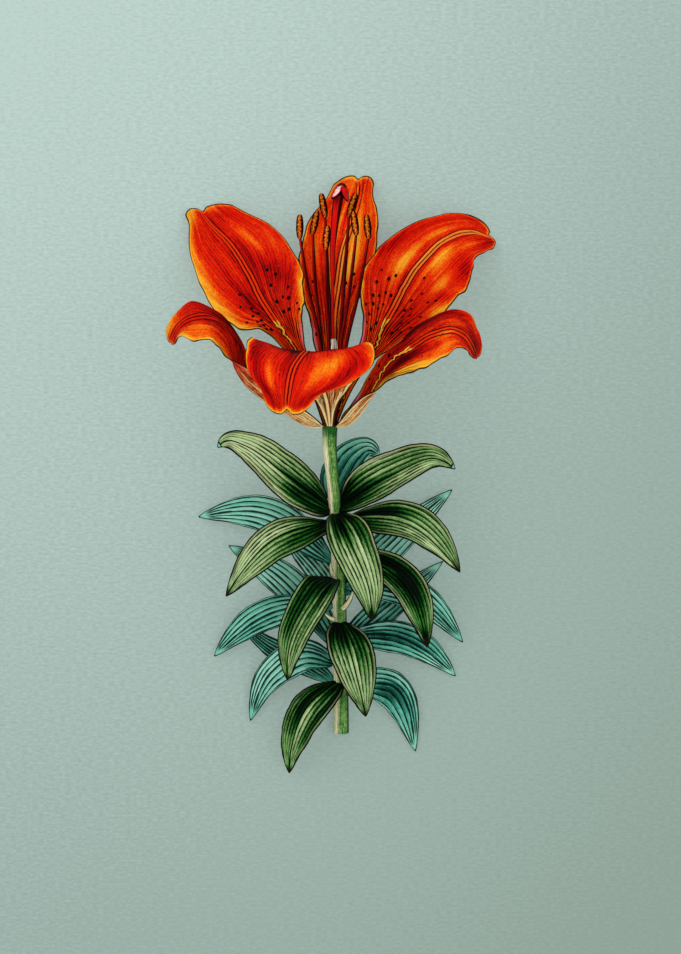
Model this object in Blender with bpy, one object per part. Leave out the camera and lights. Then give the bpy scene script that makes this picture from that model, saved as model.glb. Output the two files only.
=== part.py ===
"""A cut stem of tiger lily in flower, lying on its back as it rests on a table.

Blender works in metres with +Z up. The measures below are in millimetres, in the lily's own frame:
Y runs along the table from the cut end towards the flower, X to the right, and Z up from the table.
The finished solids stand with the middle of their bounding box over the origin.
"""

import math

import bmesh
import bpy
import numpy as np

MM = 0.001

# The middle of the whole lily over the table, and its lowest point, in its own frame.
MIDDLE_X = -1.47
MIDDLE_Y = 99.07
LOWEST = 0.11

# The gap kept where one piece is seated on another.
SEAT = 0.3

# The stem, from its cut end on the table to the seat of the flower.
STEM_LINE = [
    (1.9, 0.0, 3.0),
    (1.7, 30.0, 8.2),
    (0.9, 60.0, 14.8),
    (-0.6, 90.0, 22.6),
    (-2.3, 118.2, 30.0),
]
CUT_RADIUS = 3.0
NECK_RADIUS = 2.65
SEAT_RADIUS = 3.75
FLARE_START = 0.7
SEAT_LENGTH = 4.0

# The flower's own axis leaves the seat a little upwards.
FLOWER_AXIS = (3.6, 89.0, 21.5)

LEAF_THICKNESS = 0.7
TEPAL_THICKNESS = 0.7
LEAF_ROOT = 0.02
LEAF_SWELL = 0.8
LEAF_TIP = 0.55
LEAF_BEND = 24.0
LEAF_CLASP = 0.5
LEAF_GRID = (4, 11)

# Half a tepal's width where it is seated, and the power by which its cross section rises to its edges.
CLAW_HALF_WIDTH = 1.4
CUP = 1.8
TEPAL_GRID = (8, 16)

# How softly the table turns up a blade that presses on it, and the stem a leaf's base that clasps it.
PRESS = 3.0
CLASP = 0.5

# The lobes of a body are how many there are and how deep they cut. Its fullness is near 0 where it is a
# round-ended cylinder and 1 where it is a ball.
OVARY_LENGTH = 32.5
OVARY_RADIUS = 2.25
OVARY_FULLNESS = 0.7
OVARY_LOBES = (3, 0.1)
STYLE_LINE = [
    (-1.3, 168.0, 41.8),
    (-1.1, 186.0, 45.6),
    (0.6, 201.0, 49.4),
    (1.2, 204.6, 50.4),
]
STYLE_RADII = [0.95, 0.9, 1.0, 1.5, 1.8]
STIGMA_RADIUS = 3.2
STIGMA_HEIGHT = 2.6
STIGMA_FULLNESS = 0.8
STIGMA_LOBES = (3, 0.16)
STIGMA_DROOP = 1.6

# A filament passes two rings round the flower's axis: how far along it, and how far out of it.
FILAMENT_RADIUS = 0.4
FILAMENT_ROOT = 1.65
FILAMENT_RINGS = ((12.0, 3.6), (30.0, 5.0))
ANTHER_LENGTH = 9.3
ANTHER_WIDTH = 2.5
ANTHER_FULLNESS = 0.6
ANTHER_LOBES = (2, 0.12)
ANTHER_RISE = 0.12

# Each leaf: where it leaves the stem along Y, the side it leaves on in degrees (0 right, 90 up, 270 down),
# how wide it is to the left and to the right of its midrib and how near the tip it is widest there, which way
# its upper side or, behind the stem, its underside looks, and the points that its midrib passes on the way
# to its tip.
LEAVES = {
    "leaf_top_left": (
        86.5, 160, (9.4, 0.6), (8.1, 0.86), (0.1, 0.2, 1.0),
        [(-19.8, 99.4, 33), (-33.8, 109.6, 35), (-40.3, 111.8, 33), (-44.9, 109.3, 27)],
    ),
    "leaf_top_right": (
        86.5, 25, (9.4, 0.73), (6.8, 0.67), (-0.1, 0.2, 1.0),
        [(21.2, 98.8, 35), (36.8, 105.0, 35.5), (45.2, 101.1, 27)],
    ),
    "leaf_upper_left": (
        81.0, 158, (9.4, 0.78), (6.5, 0.95), (-0.2, 0.25, 1.0),
        [(-23.2, 74.6, 37), (-41.8, 52.8, 22)],
    ),
    "leaf_upper_front": (
        84.5, 88, (9.1, 0.77), (8.4, 0.89), (0.1, 0.2, 1.0),
        [(5.8, 72.6, 45), (12.2, 56.5, 42), (13.5, 43.9, 33)],
    ),
    "leaf_upper_right": (
        82.0, 22, (9.1, 1.2), (6.8, 0.62), (0.2, 0.25, 1.0),
        [(26.4, 80.2, 36), (47.1, 61.9, 22)],
    ),
    "leaf_middle_right": (
        71.0, 35, (8.0, 1.05), (6.2, 1.1), (0.3, 0.1, 1.0),
        [(24.4, 58.6, 27), (34.8, 33.1, 14)],
    ),
    "leaf_middle_left": (
        59.5, 110, (7.4, 0.95), (8.0, 0.6), (-0.25, 0.1, 1.0),
        [(-6.8, 54.0, 33), (-16.2, 38.2, 31), (-18.5, 20.7, 18)],
    ),
    "leaf_lower_front": (
        43.0, 80, (9.0, 0.87), (8.6, 0.68), (0.1, 0.15, 1.0),
        [(5.2, 32.3, 27), (11.4, 6.8, 12)],
    ),
    "leaf_lowest_left": (
        20.0, 125, (8.9, 0.65), (6.2, 0.9), (-0.3, 0.1, 1.0),
        [(-10.3, 11.4, 17), (-17.1, -6.1, 9), (-17.9, -15.0, 5)],
    ),
    "leaf_top_behind": (
        87.5, 275, (8.6, 0.75), (10.6, 0.72), (0.0, 0.1, -1.0),
        [(4.0, 97.0, 15.5), (8.6, 105.3, 11), (12.8, 108.2, 6), (16.6, 106.0, 2)],
    ),
    "leaf_behind_upper_left": (
        66.0, 205, (7.3, 1.0), (7.8, 0.78), (0.0, -0.1, -1.0),
        [(-27.0, 84.0, 12), (-52.4, 82.8, 2)],
    ),
    "leaf_behind_upper_right": (
        53.0, 300, (7.1, 0.78), (6.4, 0.75), (0.0, 0.0, -1.0),
        [(24.6, 76.4, 8), (44.3, 93.2, 1)],
    ),
    "leaf_behind_short_left": (
        52.0, 245, (5.2, 0.75), (5.2, 0.75), (0.0, 0.0, -1.0),
        [(-8.7, 64.6, 5), (-21.3, 76.0, 0)],
    ),
    "leaf_behind_middle_right": (
        56.5, 0, (6.0, 0.8), (7.1, 0.92), (0.0, 0.0, -1.0),
        [(24.3, 55.1, 15), (48.3, 35.0, 3)],
    ),
    "leaf_behind_middle_left": (
        49.5, 195, (6.7, 1.15), (6.2, 0.75), (0.0, -0.1, -1.0),
        [(-23.2, 46.7, 12), (-46.4, 29.6, 2)],
    ),
    "leaf_behind_lower_right": (
        34.0, 300, (6.0, 0.75), (5.6, 0.7), (0.0, 0.0, -1.0),
        [(20.3, 49.1, 4), (40.9, 65.8, 0)],
    ),
    "leaf_behind_right": (
        37.5, 345, (6.7, 0.66), (6.7, 1.1), (0.0, 0.0, -1.0),
        [(22.4, 37.3, 9), (45.6, 22.0, 1)],
    ),
    "leaf_behind_lower_left": (
        31.0, 235, (7.6, 0.83), (6.6, 1.15), (0.0, 0.0, -1.0),
        [(-9.1, 46.0, 4.5), (-21.3, 59.5, 3), (-41.0, 71.8, 0)],
    ),
    "leaf_behind_left": (
        27.5, 190, (5.7, 0.84), (8.3, 0.62), (0.0, 0.0, -1.0),
        [(-11.8, 31.5, 8.5), (-24.3, 23.9, 6.5), (-32.7, 4.9, 1)],
    ),
    "leaf_behind_lowest_left": (
        19.0, 210, (5.0, 0.75), (4.1, 0.9), (0.0, 0.0, -1.0),
        [(-9.9, 24.7, 3), (-27.0, 34.2, 0), (-37.2, 42.9, -3)],
    ),
    "leaf_behind_lowest_right": (
        18.0, 345, (8.8, 0.9), (6.3, 0.58), (0.0, 0.0, -1.0),
        [(21.1, 18.2, 6), (30.4, -6.8, 0)],
    ),
}

# Each tepal: the side of the flower it leaves on, how far out of the axis its root sits, how far its end is
# rounded at the corners and notched in the middle, and the points that its left edge, its midrib and its
# right edge pass, row by row from above the root to the tip, as seen from its inner face.
TEPALS = {
    "tepal_outer_back": {
        "side": 270, "root": 3.45, "round": 0.05, "notch": 0.012,
        "left": [(-4.3, 129.1, 26.3), (-7.8, 146.3, 21.8), (-10.6, 159.6, 18.5), (-13.5, 173, 15),
                 (-13.5, 185.3, 12), (-10.1, 196, 9.5), (-3.4, 205.3, 6.5), (1.9, 214.6, 3)],
        "middle": [(-1.7, 129.1, 24.3), (-1.5, 145.6, 17.5), (-1.3, 158.6, 12.5), (-0.6, 171.3, 8),
                   (0.8, 184, 4.2), (3.4, 195.9, 1.6), (6.1, 204.7, -0.5), (8.8, 213.2, -2.5)],
        "right": [(0.9, 129.1, 26.3), (3.8, 146.3, 21.8), (5.7, 158.9, 19), (10.3, 170, 16),
                  (15.2, 184.5, 13), (15.8, 198, 9.5), (14.3, 205.7, 6.5), (15.7, 214.2, 3)],
    },
    "tepal_outer_left": {
        "side": 150, "root": 3.45, "round": 0.05, "notch": 0.005,
        "left": [(-7.5, 119.9, 38), (-12.4, 124, 45), (-18.4, 128.9, 51), (-24.4, 133.3, 56),
                 (-29.6, 137, 60), (-34.8, 139.4, 63.5), (-40.4, 142.6, 66.5), (-44.3, 146.4, 69.5),
                 (-47.8, 149.2, 71), (-53, 148.9, 69.5), (-57.6, 150.6, 66), (-60, 147.2, 57)],
        "middle": [(-8.3, 117, 32.5), (-14.4, 119, 36), (-21.1, 123.3, 41), (-29, 128.2, 46),
                   (-34.6, 133.4, 50.5), (-37.7, 139, 55), (-38.8, 144.9, 60), (-41.3, 151.2, 64),
                   (-46.2, 155.6, 66.5), (-52, 157.1, 66.5), (-57.1, 155, 63.5), (-61.9, 148.2, 55)],
        "right": [(-7.2, 118.1, 28.5), (-12.5, 121.9, 29.5), (-18.2, 126.8, 33), (-24.2, 132, 38),
                  (-29, 137.3, 43), (-32.9, 142.8, 48.5), (-34.7, 147.6, 53.5), (-37.7, 153.4, 57.5),
                  (-44.6, 159.9, 60.5), (-53.8, 164.2, 61.5), (-60.6, 158.6, 58.5), (-64.2, 150.3, 53.5)],
    },
    "tepal_outer_right": {
        "side": 30, "root": 3.45, "round": 0.05, "notch": 0.005,
        "left": [(2.4, 121.6, 27.2), (5.4, 125.0, 30.8), (7.9, 128.8, 35.5), (10.4, 133, 39.5),
                 (13.4, 138.4, 44.5), (17.7, 143.8, 49), (24.1, 148.6, 53.5), (31.9, 155.6, 57.5),
                 (41.6, 160.3, 60), (49.9, 159.4, 58.5), (53.3, 153.2, 55), (55.3, 144.7, 50)],
        "middle": [(3.8, 117.5, 32), (8.7, 121.5, 35.5), (12.1, 126.3, 40.5), (14.9, 131.4, 45.5),
                   (18.1, 137.3, 50.5), (22.9, 142.4, 55), (28.9, 147, 59.5), (36, 151.6, 63.5),
                   (42.7, 154.7, 65), (48.2, 153.3, 62.5), (51.4, 148.7, 58), (53.2, 143, 51)],
        "right": [(2.7, 120.7, 37.5), (6, 125.2, 43), (10.6, 128.5, 48.5), (15.4, 131.3, 53),
                  (21, 134.8, 57), (27, 136.8, 61), (33.3, 139.1, 64.5), (39.7, 142.2, 67),
                  (44.9, 146.2, 67.5), (47.9, 145.8, 64.5), (50.3, 144, 59.5), (51.9, 141.6, 53)],
    },
    "tepal_inner_left": {
        "side": 210, "root": 2.7, "round": 0.045, "notch": 0.015,
        "left": [(-8.7, 128, 30), (-15.5, 139.3, 29.5), (-21.6, 148.8, 30), (-28.8, 153.5, 29),
                 (-37.2, 154.4, 25), (-46.7, 161.7, 19.5), (-52, 172.3, 13.5), (-56, 185, 8.5),
                 (-56.5, 194.3, 5.5), (-58.1, 202.4, 3)],
        "middle": [(-6.8, 128.7, 27), (-12.5, 140.9, 25.5), (-17.5, 150.4, 24), (-22.4, 158.4, 21),
                   (-28.2, 166.5, 17), (-32.2, 175, 13), (-36.8, 183.1, 9), (-42.4, 189.5, 5),
                   (-47, 194.4, 1.5), (-51.6, 200.9, -3)],
        "right": [(-5.3, 129.5, 28.5), (-10.2, 142.4, 29.5), (-12.3, 151.4, 29.5), (-12.8, 159.1, 27),
                  (-12.2, 165.6, 24.5), (-12.3, 172.9, 21.5), (-15.2, 181.9, 18), (-22.9, 192.5, 13),
                  (-34, 198.7, 8.5), (-43.6, 205, 4)],
    },
    "tepal_inner_right": {
        "side": 330, "root": 2.7, "round": 0.045, "notch": 0.012,
        "left": [(0.9, 128, 31), (4.4, 137.8, 31), (9.3, 149.2, 30.5), (10, 157.9, 28.5),
                 (9.3, 165.2, 26.5), (9.3, 173.6, 24), (13.5, 182.2, 21.5), (20.9, 189.1, 18.5),
                 (30.8, 195.5, 15), (42.3, 198.3, 10), (58.1, 197, 3)],
        "middle": [(2.7, 127.8, 28.8), (7, 137.1, 27), (14.6, 147.2, 26), (18.2, 155.4, 23.5),
                   (22, 162.1, 20), (26.3, 170.9, 16), (31.6, 179.4, 13), (37.7, 185.9, 10.5),
                   (44.6, 189.6, 7.5), (51.5, 191.4, 3.5), (59.5, 190.4, -3)],
        "right": [(4.3, 127.2, 30.5), (9.8, 137.4, 31.3), (19.7, 146.1, 33), (27.3, 151, 32),
                  (36.4, 157.1, 29), (45.6, 165.2, 25), (50.1, 171.3, 21.5), (52.3, 177.5, 17),
                  (53.1, 181.8, 13), (56.8, 183.6, 8.5), (63, 187.1, 3)],
    },
    "tepal_inner_front": {
        "side": 90, "root": 2.7, "round": 0.04, "notch": 0.025,
        "left": [(0.8, 125.6, 43), (4.9, 131.5, 52), (8.6, 136.7, 60), (11.6, 141.8, 67),
                 (12.2, 147.9, 74), (14.7, 144.6, 78.5), (13.1, 139, 80.5), (4.9, 132.6, 83),
                 (-5.9, 128.5, 85), (-11.1, 120.4, 84)],
        "middle": [(-3.4, 125.6, 42), (-5.2, 131.5, 52), (-7.5, 137.4, 62), (-9.7, 141.8, 70),
                   (-11.7, 144.6, 79), (-14.1, 141.7, 85.5), (-16.2, 137.6, 89.5), (-17.4, 132.5, 91),
                   (-18.1, 127.4, 89.5), (-18.2, 121.4, 86)],
        "right": [(-7.2, 125.6, 43), (-11.3, 131.5, 52.5), (-17.6, 138.1, 62), (-24.6, 144.7, 70),
                  (-30.5, 149.8, 77), (-33.1, 148.3, 82.5), (-33.5, 144.1, 86), (-32.1, 136.9, 87.5),
                  (-27.9, 130, 87), (-25.2, 121.1, 84)],
    },
}

# Each stamen: the side of the ovary its filament leaves on, the middle of its anther, and the anther's lean
# to the right in degrees.
STAMENS = {
    "1": (157, (-13.6, 192.2, 50.0), 0),
    "2": (209, (-8.0, 194.0, 42.0), 12),
    "3": (260, (-4.8, 200.4, 43.5), -10),
    "4": (106, (-3.5, 187.7, 61.0), 5),
    "5": (299, (6.1, 200.6, 44.0), 18),
    "6": (55, (7.1, 193.2, 58.0), -8),
    "7": (12, (11.9, 192.2, 49.0), -5),
}


def clear_scene():
    """Empties the file's scene."""
    for obj in list(bpy.data.objects):
        bpy.data.objects.remove(obj)


def material(name, colour, roughness):
    """A plain finish in the piece's own colour."""
    made = bpy.data.materials.new(name)
    made.use_nodes = True
    shader = made.node_tree.nodes["Principled BSDF"]
    shader.inputs["Base Color"].default_value = (*colour, 1.0)
    shader.inputs["Roughness"].default_value = roughness
    shader.inputs["Metallic"].default_value = 0.0
    return made


def unit(vector):
    vector = np.asarray(vector, float)
    return vector / np.linalg.norm(vector)


def to_frame(points):
    """Points in the lily's millimetres as Blender's metres, with the lily's middle over the origin."""
    return (np.asarray(points, float) - (MIDDLE_X, MIDDLE_Y, LOWEST)) * MM


def shares_of(points):
    """How far along its chords each point stands, as shares of their whole length."""
    steps = np.linalg.norm(np.diff(np.asarray(points, float), axis=0), axis=1)
    return np.concatenate([[0.0], np.cumsum(steps)]) / steps.sum()


def follow(points, shares, places):
    """Points on one smooth curve through the given points, which it passes at the given shares."""
    points = np.asarray(points, float)
    steps = np.diff(shares)
    slopes = np.diff(points, axis=0) / steps[:, None]
    tangents = np.empty_like(points)
    inner = slopes[:-1] * steps[1:, None] + slopes[1:] * steps[:-1, None]
    tangents[1:-1] = inner / (steps[:-1] + steps[1:])[:, None]
    tangents[0] = 1.5 * slopes[0] - 0.5 * tangents[1] if len(points) > 2 else slopes[0]
    tangents[-1] = 1.5 * slopes[-1] - 0.5 * tangents[-2] if len(points) > 2 else slopes[0]
    places = np.asarray(places, float)
    k = np.clip(np.searchsorted(shares, places, side="right") - 1, 0, len(steps) - 1)
    step = steps[k][:, None]
    s = (places - shares[k])[:, None] / step
    start = points[k] * (2 * s**3 - 3 * s**2 + 1) + tangents[k] * step * (s**3 - 2 * s**2 + s)
    end = points[k + 1] * (3 * s**2 - 2 * s**3) + tangents[k + 1] * step * (s**3 - s**2)
    return start + end


def units(vectors):
    """Each vector of a list at length one."""
    return vectors / np.linalg.norm(vectors, axis=1)[:, None]


def eased(places):
    """Rows that crowd towards the tip, where a blade turns in."""
    return np.minimum(places + 0.1 * np.sin(math.pi * places), 1.0)


def pressed(heights, thickness):
    """The table turns up what would sink into it."""
    over = heights - thickness / 2
    return thickness / 2 + (over + np.sqrt(over * over + PRESS * PRESS / 4)) / 2


def stem_radius(places):
    """The stem tapers towards its neck, then flares to the seat of the flower."""
    taper = np.minimum(places / FLARE_START, 1.0)
    flare = np.clip((places - FLARE_START) / (1 - FLARE_START), 0.0, 1.0) ** 4
    return CUT_RADIUS + (NECK_RADIUS - CUT_RADIUS) * taper + (SEAT_RADIUS - NECK_RADIUS) * flare


def stem_at(y):
    """The point of the stem's middle line at that Y, its direction, and its radius there."""
    places = np.linspace(0.0, 1.0, 401)
    line = follow(STEM_LINE, shares_of(STEM_LINE), places)
    k = int(np.abs(line[:, 1] - y).argmin())
    return line[k], unit(line[k + 1] - line[k - 1]), stem_radius(places)[k]


def clear_of_stem(points, thickness):
    """A leaf's base wraps round the stem instead of running into it."""
    places = np.linspace(0.0, 1.0, 401)
    line = follow(STEM_LINE, shares_of(STEM_LINE), places)
    axis = np.array([np.interp(points[:, 1], line[:, 1], column) for column in line.T]).T
    slopes = np.gradient(line, axis=0).T
    along = units(np.array([np.interp(points[:, 1], line[:, 1], slope) for slope in slopes]).T)
    out = points - axis
    out = out - (out * along).sum(axis=1)[:, None] * along
    reach = np.linalg.norm(out, axis=1)
    nearest = np.interp(points[:, 1], line[:, 1], stem_radius(places)) + SEAT + thickness / 2
    over = reach - nearest
    kept = nearest + (over + np.sqrt(over * over + CLASP * CLASP)) / 2
    past = (points[:, 1] < line[0, 1] - 1) | (points[:, 1] > line[-1, 1] + 1)
    return np.where(past[:, None], points, points + out * ((kept - reach) / reach)[:, None])


def outward(axis, side):
    """The direction out of an axis at that side, in degrees, where 0 is right and 90 is up."""
    axis = unit(axis)
    right = unit(np.cross(axis, (0.0, 0.0, 1.0)))
    up = np.cross(right, axis)
    angle = math.radians(side)
    return right * math.cos(angle) + up * math.sin(angle)


def blade(name, surface, segments, thickness, finish):
    """A thin solid blade on a surface of places across, -1 to 1, and along, 0 to 1."""
    columns, rows = segments
    grid = bmesh.new()
    bmesh.ops.create_grid(grid, x_segments=columns, y_segments=rows, size=1.0)
    places = np.array([vertex.co for vertex in grid.verts])
    points = surface(places[:, 0], eased((places[:, 1] + 1) / 2))
    points[:, 2] = pressed(points[:, 2], thickness)
    for vertex, point in zip(grid.verts, to_frame(points)):
        vertex.co = point
    bmesh.ops.triangulate(grid, faces=grid.faces)
    mesh = bpy.data.meshes.new(name)
    grid.to_mesh(mesh)
    grid.free()
    mesh.shade_smooth()
    mesh.materials.append(finish)
    obj = bpy.data.objects.new(name, mesh)
    bpy.context.scene.collection.objects.link(obj)
    wall = obj.modifiers.new("thickness", "SOLIDIFY")
    wall.thickness = thickness * MM
    wall.offset = 0.0


def leaf_surface(name):
    """The surface of one leaf: a lance-shaped blade on an arching midrib, bent a little along it."""
    y, side, left_half, right_half, face, line = LEAVES[name]
    foot, axis, radius = stem_at(y)
    root = foot + outward(axis, side) * (radius + SEAT + 0.15)
    points = [root, *line]
    shares = shares_of(points)

    def surface(across, along):
        middle = follow(points, shares, along)
        ahead = follow(points, shares, np.minimum(along + 0.005, 1.0))
        behind = follow(points, shares, np.maximum(along - 0.005, 0.0))
        direction = units(ahead - behind)
        turn = np.minimum(along / 0.3, 1.0)[:, None]
        look = unit(face) * turn + unit(unit(face) + axis * LEAF_CLASP) * (1 - turn)
        normal = units(look - (look * direction).sum(axis=1)[:, None] * direction)
        right = np.cross(direction, normal)
        half, skew = np.where((across < 0)[:, None], left_half, right_half).T
        spread = np.sin(math.pi * (LEAF_ROOT + (1 - LEAF_ROOT) * along) ** skew) ** LEAF_SWELL
        width = np.maximum(half * spread, LEAF_TIP)
        angle = math.radians(LEAF_BEND)
        sideways = width * np.sin(angle * across) / angle
        upwards = width * (1 - np.cos(angle * across)) / angle
        return clear_of_stem(middle + right * sideways[:, None] + normal * upwards[:, None], LEAF_THICKNESS)

    return surface


def tepal_surface(name):
    """The surface of one tepal, cupped between its midrib and its two edges."""
    tepal = TEPALS[name]
    axis = unit(FLOWER_AXIS)
    out = outward(axis, tepal["side"])
    root = np.array(STEM_LINE[-1]) + axis * 2 * SEAT + out * tepal["root"]
    edge = np.cross(axis, -out) * CLAW_HALF_WIDTH
    middle = [root, *tepal["middle"]]
    left = [root - edge, *tepal["left"]]
    right = [root + edge, *tepal["right"]]
    shares = shares_of(middle)

    def surface(across, along):
        corners = tepal["round"] * across**4
        notch = tepal["notch"] * np.exp(-((across / 0.15) ** 2))
        along = along * (1 - corners - notch)
        m, a, b = (follow(points, shares, along) for points in (middle, left, right))
        cup = (np.abs(across) ** CUP)[:, None]
        return m + (b - a) / 2 * across[:, None] + ((a + b) / 2 - m) * cup

    return surface


def rod(name, line, radii, sides, finish, stations):
    """A round rod along a smooth line, closed at both ends. Its radii are given at even steps."""
    places = np.linspace(0.0, 1.0, stations)
    at = to_frame(follow(line, shares_of(line), places))
    curve = bpy.data.curves.new(name, "CURVE")
    curve.dimensions = "3D"
    curve.bevel_depth = MM
    curve.bevel_resolution = sides // 2 - 2
    curve.use_fill_caps = True
    spline = curve.splines.new("POLY")
    spline.points.add(stations - 1)
    for k, place in enumerate(places):
        spline.points[k].co = (*at[k], 1.0)
        spline.points[k].radius = np.interp(place, np.linspace(0.0, 1.0, len(radii)), radii)
    curve.materials.append(finish)
    obj = bpy.data.objects.new(name, curve)
    bpy.context.scene.collection.objects.link(obj)


def lobed_body(name, middle, axis, size, lobes, droop, finish, segments):
    """A long rounded body with lobes round its axis, as an ovary, a stigma or an anther has."""
    length, radius, fullness = size
    count, depth = lobes
    sides, rings = segments
    axis = unit(axis)
    right = outward(axis, 0)
    up = np.cross(right, axis)
    ball = bmesh.new()
    bmesh.ops.create_uvsphere(ball, u_segments=sides, v_segments=rings, radius=1.0)
    for vertex in ball.verts:
        x, y, z = vertex.co
        angle = math.atan2(y, x)
        share = math.hypot(x, y) ** fullness
        reach = radius * share * (1 + depth * math.cos(count * angle))
        point = np.asarray(middle) + axis * (z * length / 2 - droop * share * share)
        point = point + right * reach * math.cos(angle) + up * reach * math.sin(angle)
        vertex.co = to_frame(point)
    bmesh.ops.reverse_faces(ball, faces=ball.faces)
    mesh = bpy.data.meshes.new(name)
    ball.to_mesh(mesh)
    ball.free()
    mesh.shade_smooth()
    mesh.materials.append(finish)
    obj = bpy.data.objects.new(name, mesh)
    bpy.context.scene.collection.objects.link(obj)


def make_stem():
    """The stem from its cut end to the flared seat that carries the flower."""
    green = material("stem green", (0.30, 0.42, 0.16), 0.5)
    seat = np.array(STEM_LINE[-1])
    axis = unit(FLOWER_AXIS)
    line = [*STEM_LINE[:-1], seat - axis * SEAT_LENGTH, seat]
    rod("stem", line, stem_radius(np.linspace(0.0, 1.0, 31)), 14, green, 16)


def make_leaves():
    green = material("leaf green", (0.10, 0.26, 0.06), 0.5)
    for name in LEAVES:
        blade(name, leaf_surface(name), LEAF_GRID, LEAF_THICKNESS, green)


def make_tepals():
    orange = material("tepal orange", (0.75, 0.10, 0.01), 0.45)
    for name in TEPALS:
        blade(name, tepal_surface(name), TEPAL_GRID, TEPAL_THICKNESS, orange)


def make_pistil():
    """The ribbed ovary on the seat, the style out of its top and the lobed stigma."""
    pale = material("ovary pale green", (0.55, 0.65, 0.40), 0.5)
    red = material("style red", (0.55, 0.02, 0.01), 0.4)
    dark = material("stigma dark red", (0.30, 0.02, 0.03), 0.5)
    seat = np.array(STEM_LINE[-1])
    axis = unit(FLOWER_AXIS)
    size = (OVARY_LENGTH, OVARY_RADIUS, OVARY_FULLNESS)
    middle = seat + axis * (SEAT + OVARY_LENGTH / 2)
    lobed_body("ovary", middle, axis, size, OVARY_LOBES, 0.0, pale, (12, 10))
    top = seat + axis * (2 * SEAT + OVARY_LENGTH)
    rod("style", [top, *STYLE_LINE], STYLE_RADII, 8, red, 12)
    direction = unit(np.subtract(STYLE_LINE[-1], STYLE_LINE[-2]))
    size = (STIGMA_HEIGHT, STIGMA_RADIUS, STIGMA_FULLNESS)
    middle = STYLE_LINE[-1] + direction * (2.5 * SEAT + STIGMA_HEIGHT / 2)
    lobed_body("stigma", middle, direction, size, STIGMA_LOBES, STIGMA_DROOP, dark, (12, 6))


def make_stamens():
    red = material("filament red", (0.45, 0.02, 0.01), 0.4)
    brown = material("anther brown", (0.30, 0.08, 0.01), 0.8)
    seat = np.array(STEM_LINE[-1])
    axis = unit(FLOWER_AXIS)
    size = (ANTHER_LENGTH, ANTHER_WIDTH / 2, ANTHER_FULLNESS)
    for number, (side, middle, lean) in STAMENS.items():
        angle = math.radians(lean)
        direction = unit((math.sin(angle), math.cos(angle), ANTHER_RISE))
        lobed_body("anther_" + number, middle, direction, size, ANTHER_LOBES, 0.0, brown, (10, 8))
        out = outward(axis, side)
        root = seat + axis * 1.5 * SEAT + out * FILAMENT_ROOT
        low, high = (seat + axis * along + out * away for along, away in FILAMENT_RINGS)
        foot = middle - direction * (ANTHER_LENGTH / 2 + SEAT)
        bend = high + (foot - high) * 0.55 + out * 0.4
        rod("filament_" + number, [root, low, high, bend, foot], [FILAMENT_RADIUS] * 2, 6, red, 13)


def main():
    clear_scene()
    make_stem()
    make_leaves()
    make_tepals()
    make_pistil()
    make_stamens()


main()
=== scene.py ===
"""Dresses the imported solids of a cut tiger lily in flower, which lies on a plain table.

The leaves, tepals and other pieces follow the same named lines as the solids, in the lily's own
millimetres: Y runs from the cut end to the flower, X to the right, and Z up from the table.
"""

import math

import bpy
import mathutils
import numpy as np
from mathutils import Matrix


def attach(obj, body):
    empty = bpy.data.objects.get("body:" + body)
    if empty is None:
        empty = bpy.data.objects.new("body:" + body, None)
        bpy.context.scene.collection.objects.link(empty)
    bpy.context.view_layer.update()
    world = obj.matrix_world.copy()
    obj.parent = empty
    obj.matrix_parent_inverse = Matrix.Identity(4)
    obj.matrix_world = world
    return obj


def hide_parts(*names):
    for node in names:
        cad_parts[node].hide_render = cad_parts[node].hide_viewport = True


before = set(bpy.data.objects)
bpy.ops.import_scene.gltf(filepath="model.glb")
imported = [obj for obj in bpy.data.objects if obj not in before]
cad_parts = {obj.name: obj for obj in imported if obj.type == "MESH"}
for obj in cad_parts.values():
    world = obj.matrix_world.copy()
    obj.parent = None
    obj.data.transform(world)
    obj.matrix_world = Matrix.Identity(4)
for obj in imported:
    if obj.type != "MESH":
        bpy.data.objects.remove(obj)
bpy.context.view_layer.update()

bl_info = {
    "name": "Tiger Lily",
    "version": (1, 0, 0),
    "blender": (4, 5, 0),
    "location": "View3D > Sidebar > Lily",
    "description": "Models and paints a cut tiger lily over its packed solids",
    "category": "Add Mesh",
}

MM = 0.001

# The middle of the whole lily over the table, and its lowest point, in its own frame.
MIDDLE_X = -1.47
MIDDLE_Y = 99.07
LOWEST = 0.11

# The photograph: its middle in pixels, the place in the lily's frame that shows there, and how many
# millimetres a pixel spans at the height of the lily's middle.
PHOTO_MIDDLE = (340.5, 477.0)
PHOTO_AIM = (1.71, 98.04)
PHOTO_PIXEL = 0.38
MIDDLE_HEIGHT = 20.0

# The camera: how far above the table it hangs, its lens and the width of its film, in millimetres, and
# how many metres deep it sees.
CAMERA_HEIGHT = 3000.0
LENS = 295.93
FILM_WIDTH = 36.0
CAMERA_REACH = 20.0

# Large soft lamps, each over its side of the table and turned to the lily, in metres.
LAMPS = {"lamp_left": (-0.9, 0.7, 1.4), "lamp_right": (0.9, -0.2, 1.6)}
LAMP_SIZE = 1.4
SKY = (1.0, 1.0, 0.99, 1.0)

# The floor in metres: its size, how far its tones run to each side of the middle, and from how far out
# to how near its glow is lifted, and by how much.
FLOOR_SIZE = 6.0
FLOOR_SLOPE = 0.3
GLOW_RINGS = (0.17, 0.06)
GLOW_LIFT = 1.17

# The gap kept between the solids where one is seated on another.
SEAT = 0.3

# The stem, from its cut end on the table to the seat of the flower.
STEM_LINE = [
    (1.9, 0.0, 3.0),
    (1.7, 30.0, 8.2),
    (0.9, 60.0, 14.8),
    (-0.6, 90.0, 22.6),
    (-2.3, 118.2, 30.0),
]
CUT_RADIUS = 3.0
NECK_RADIUS = 2.5
SEAT_RADIUS = 3.05
FLARE_START = 0.7
SEAT_LENGTH = 4.0
STEM_GRID = (48, 190)

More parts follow.
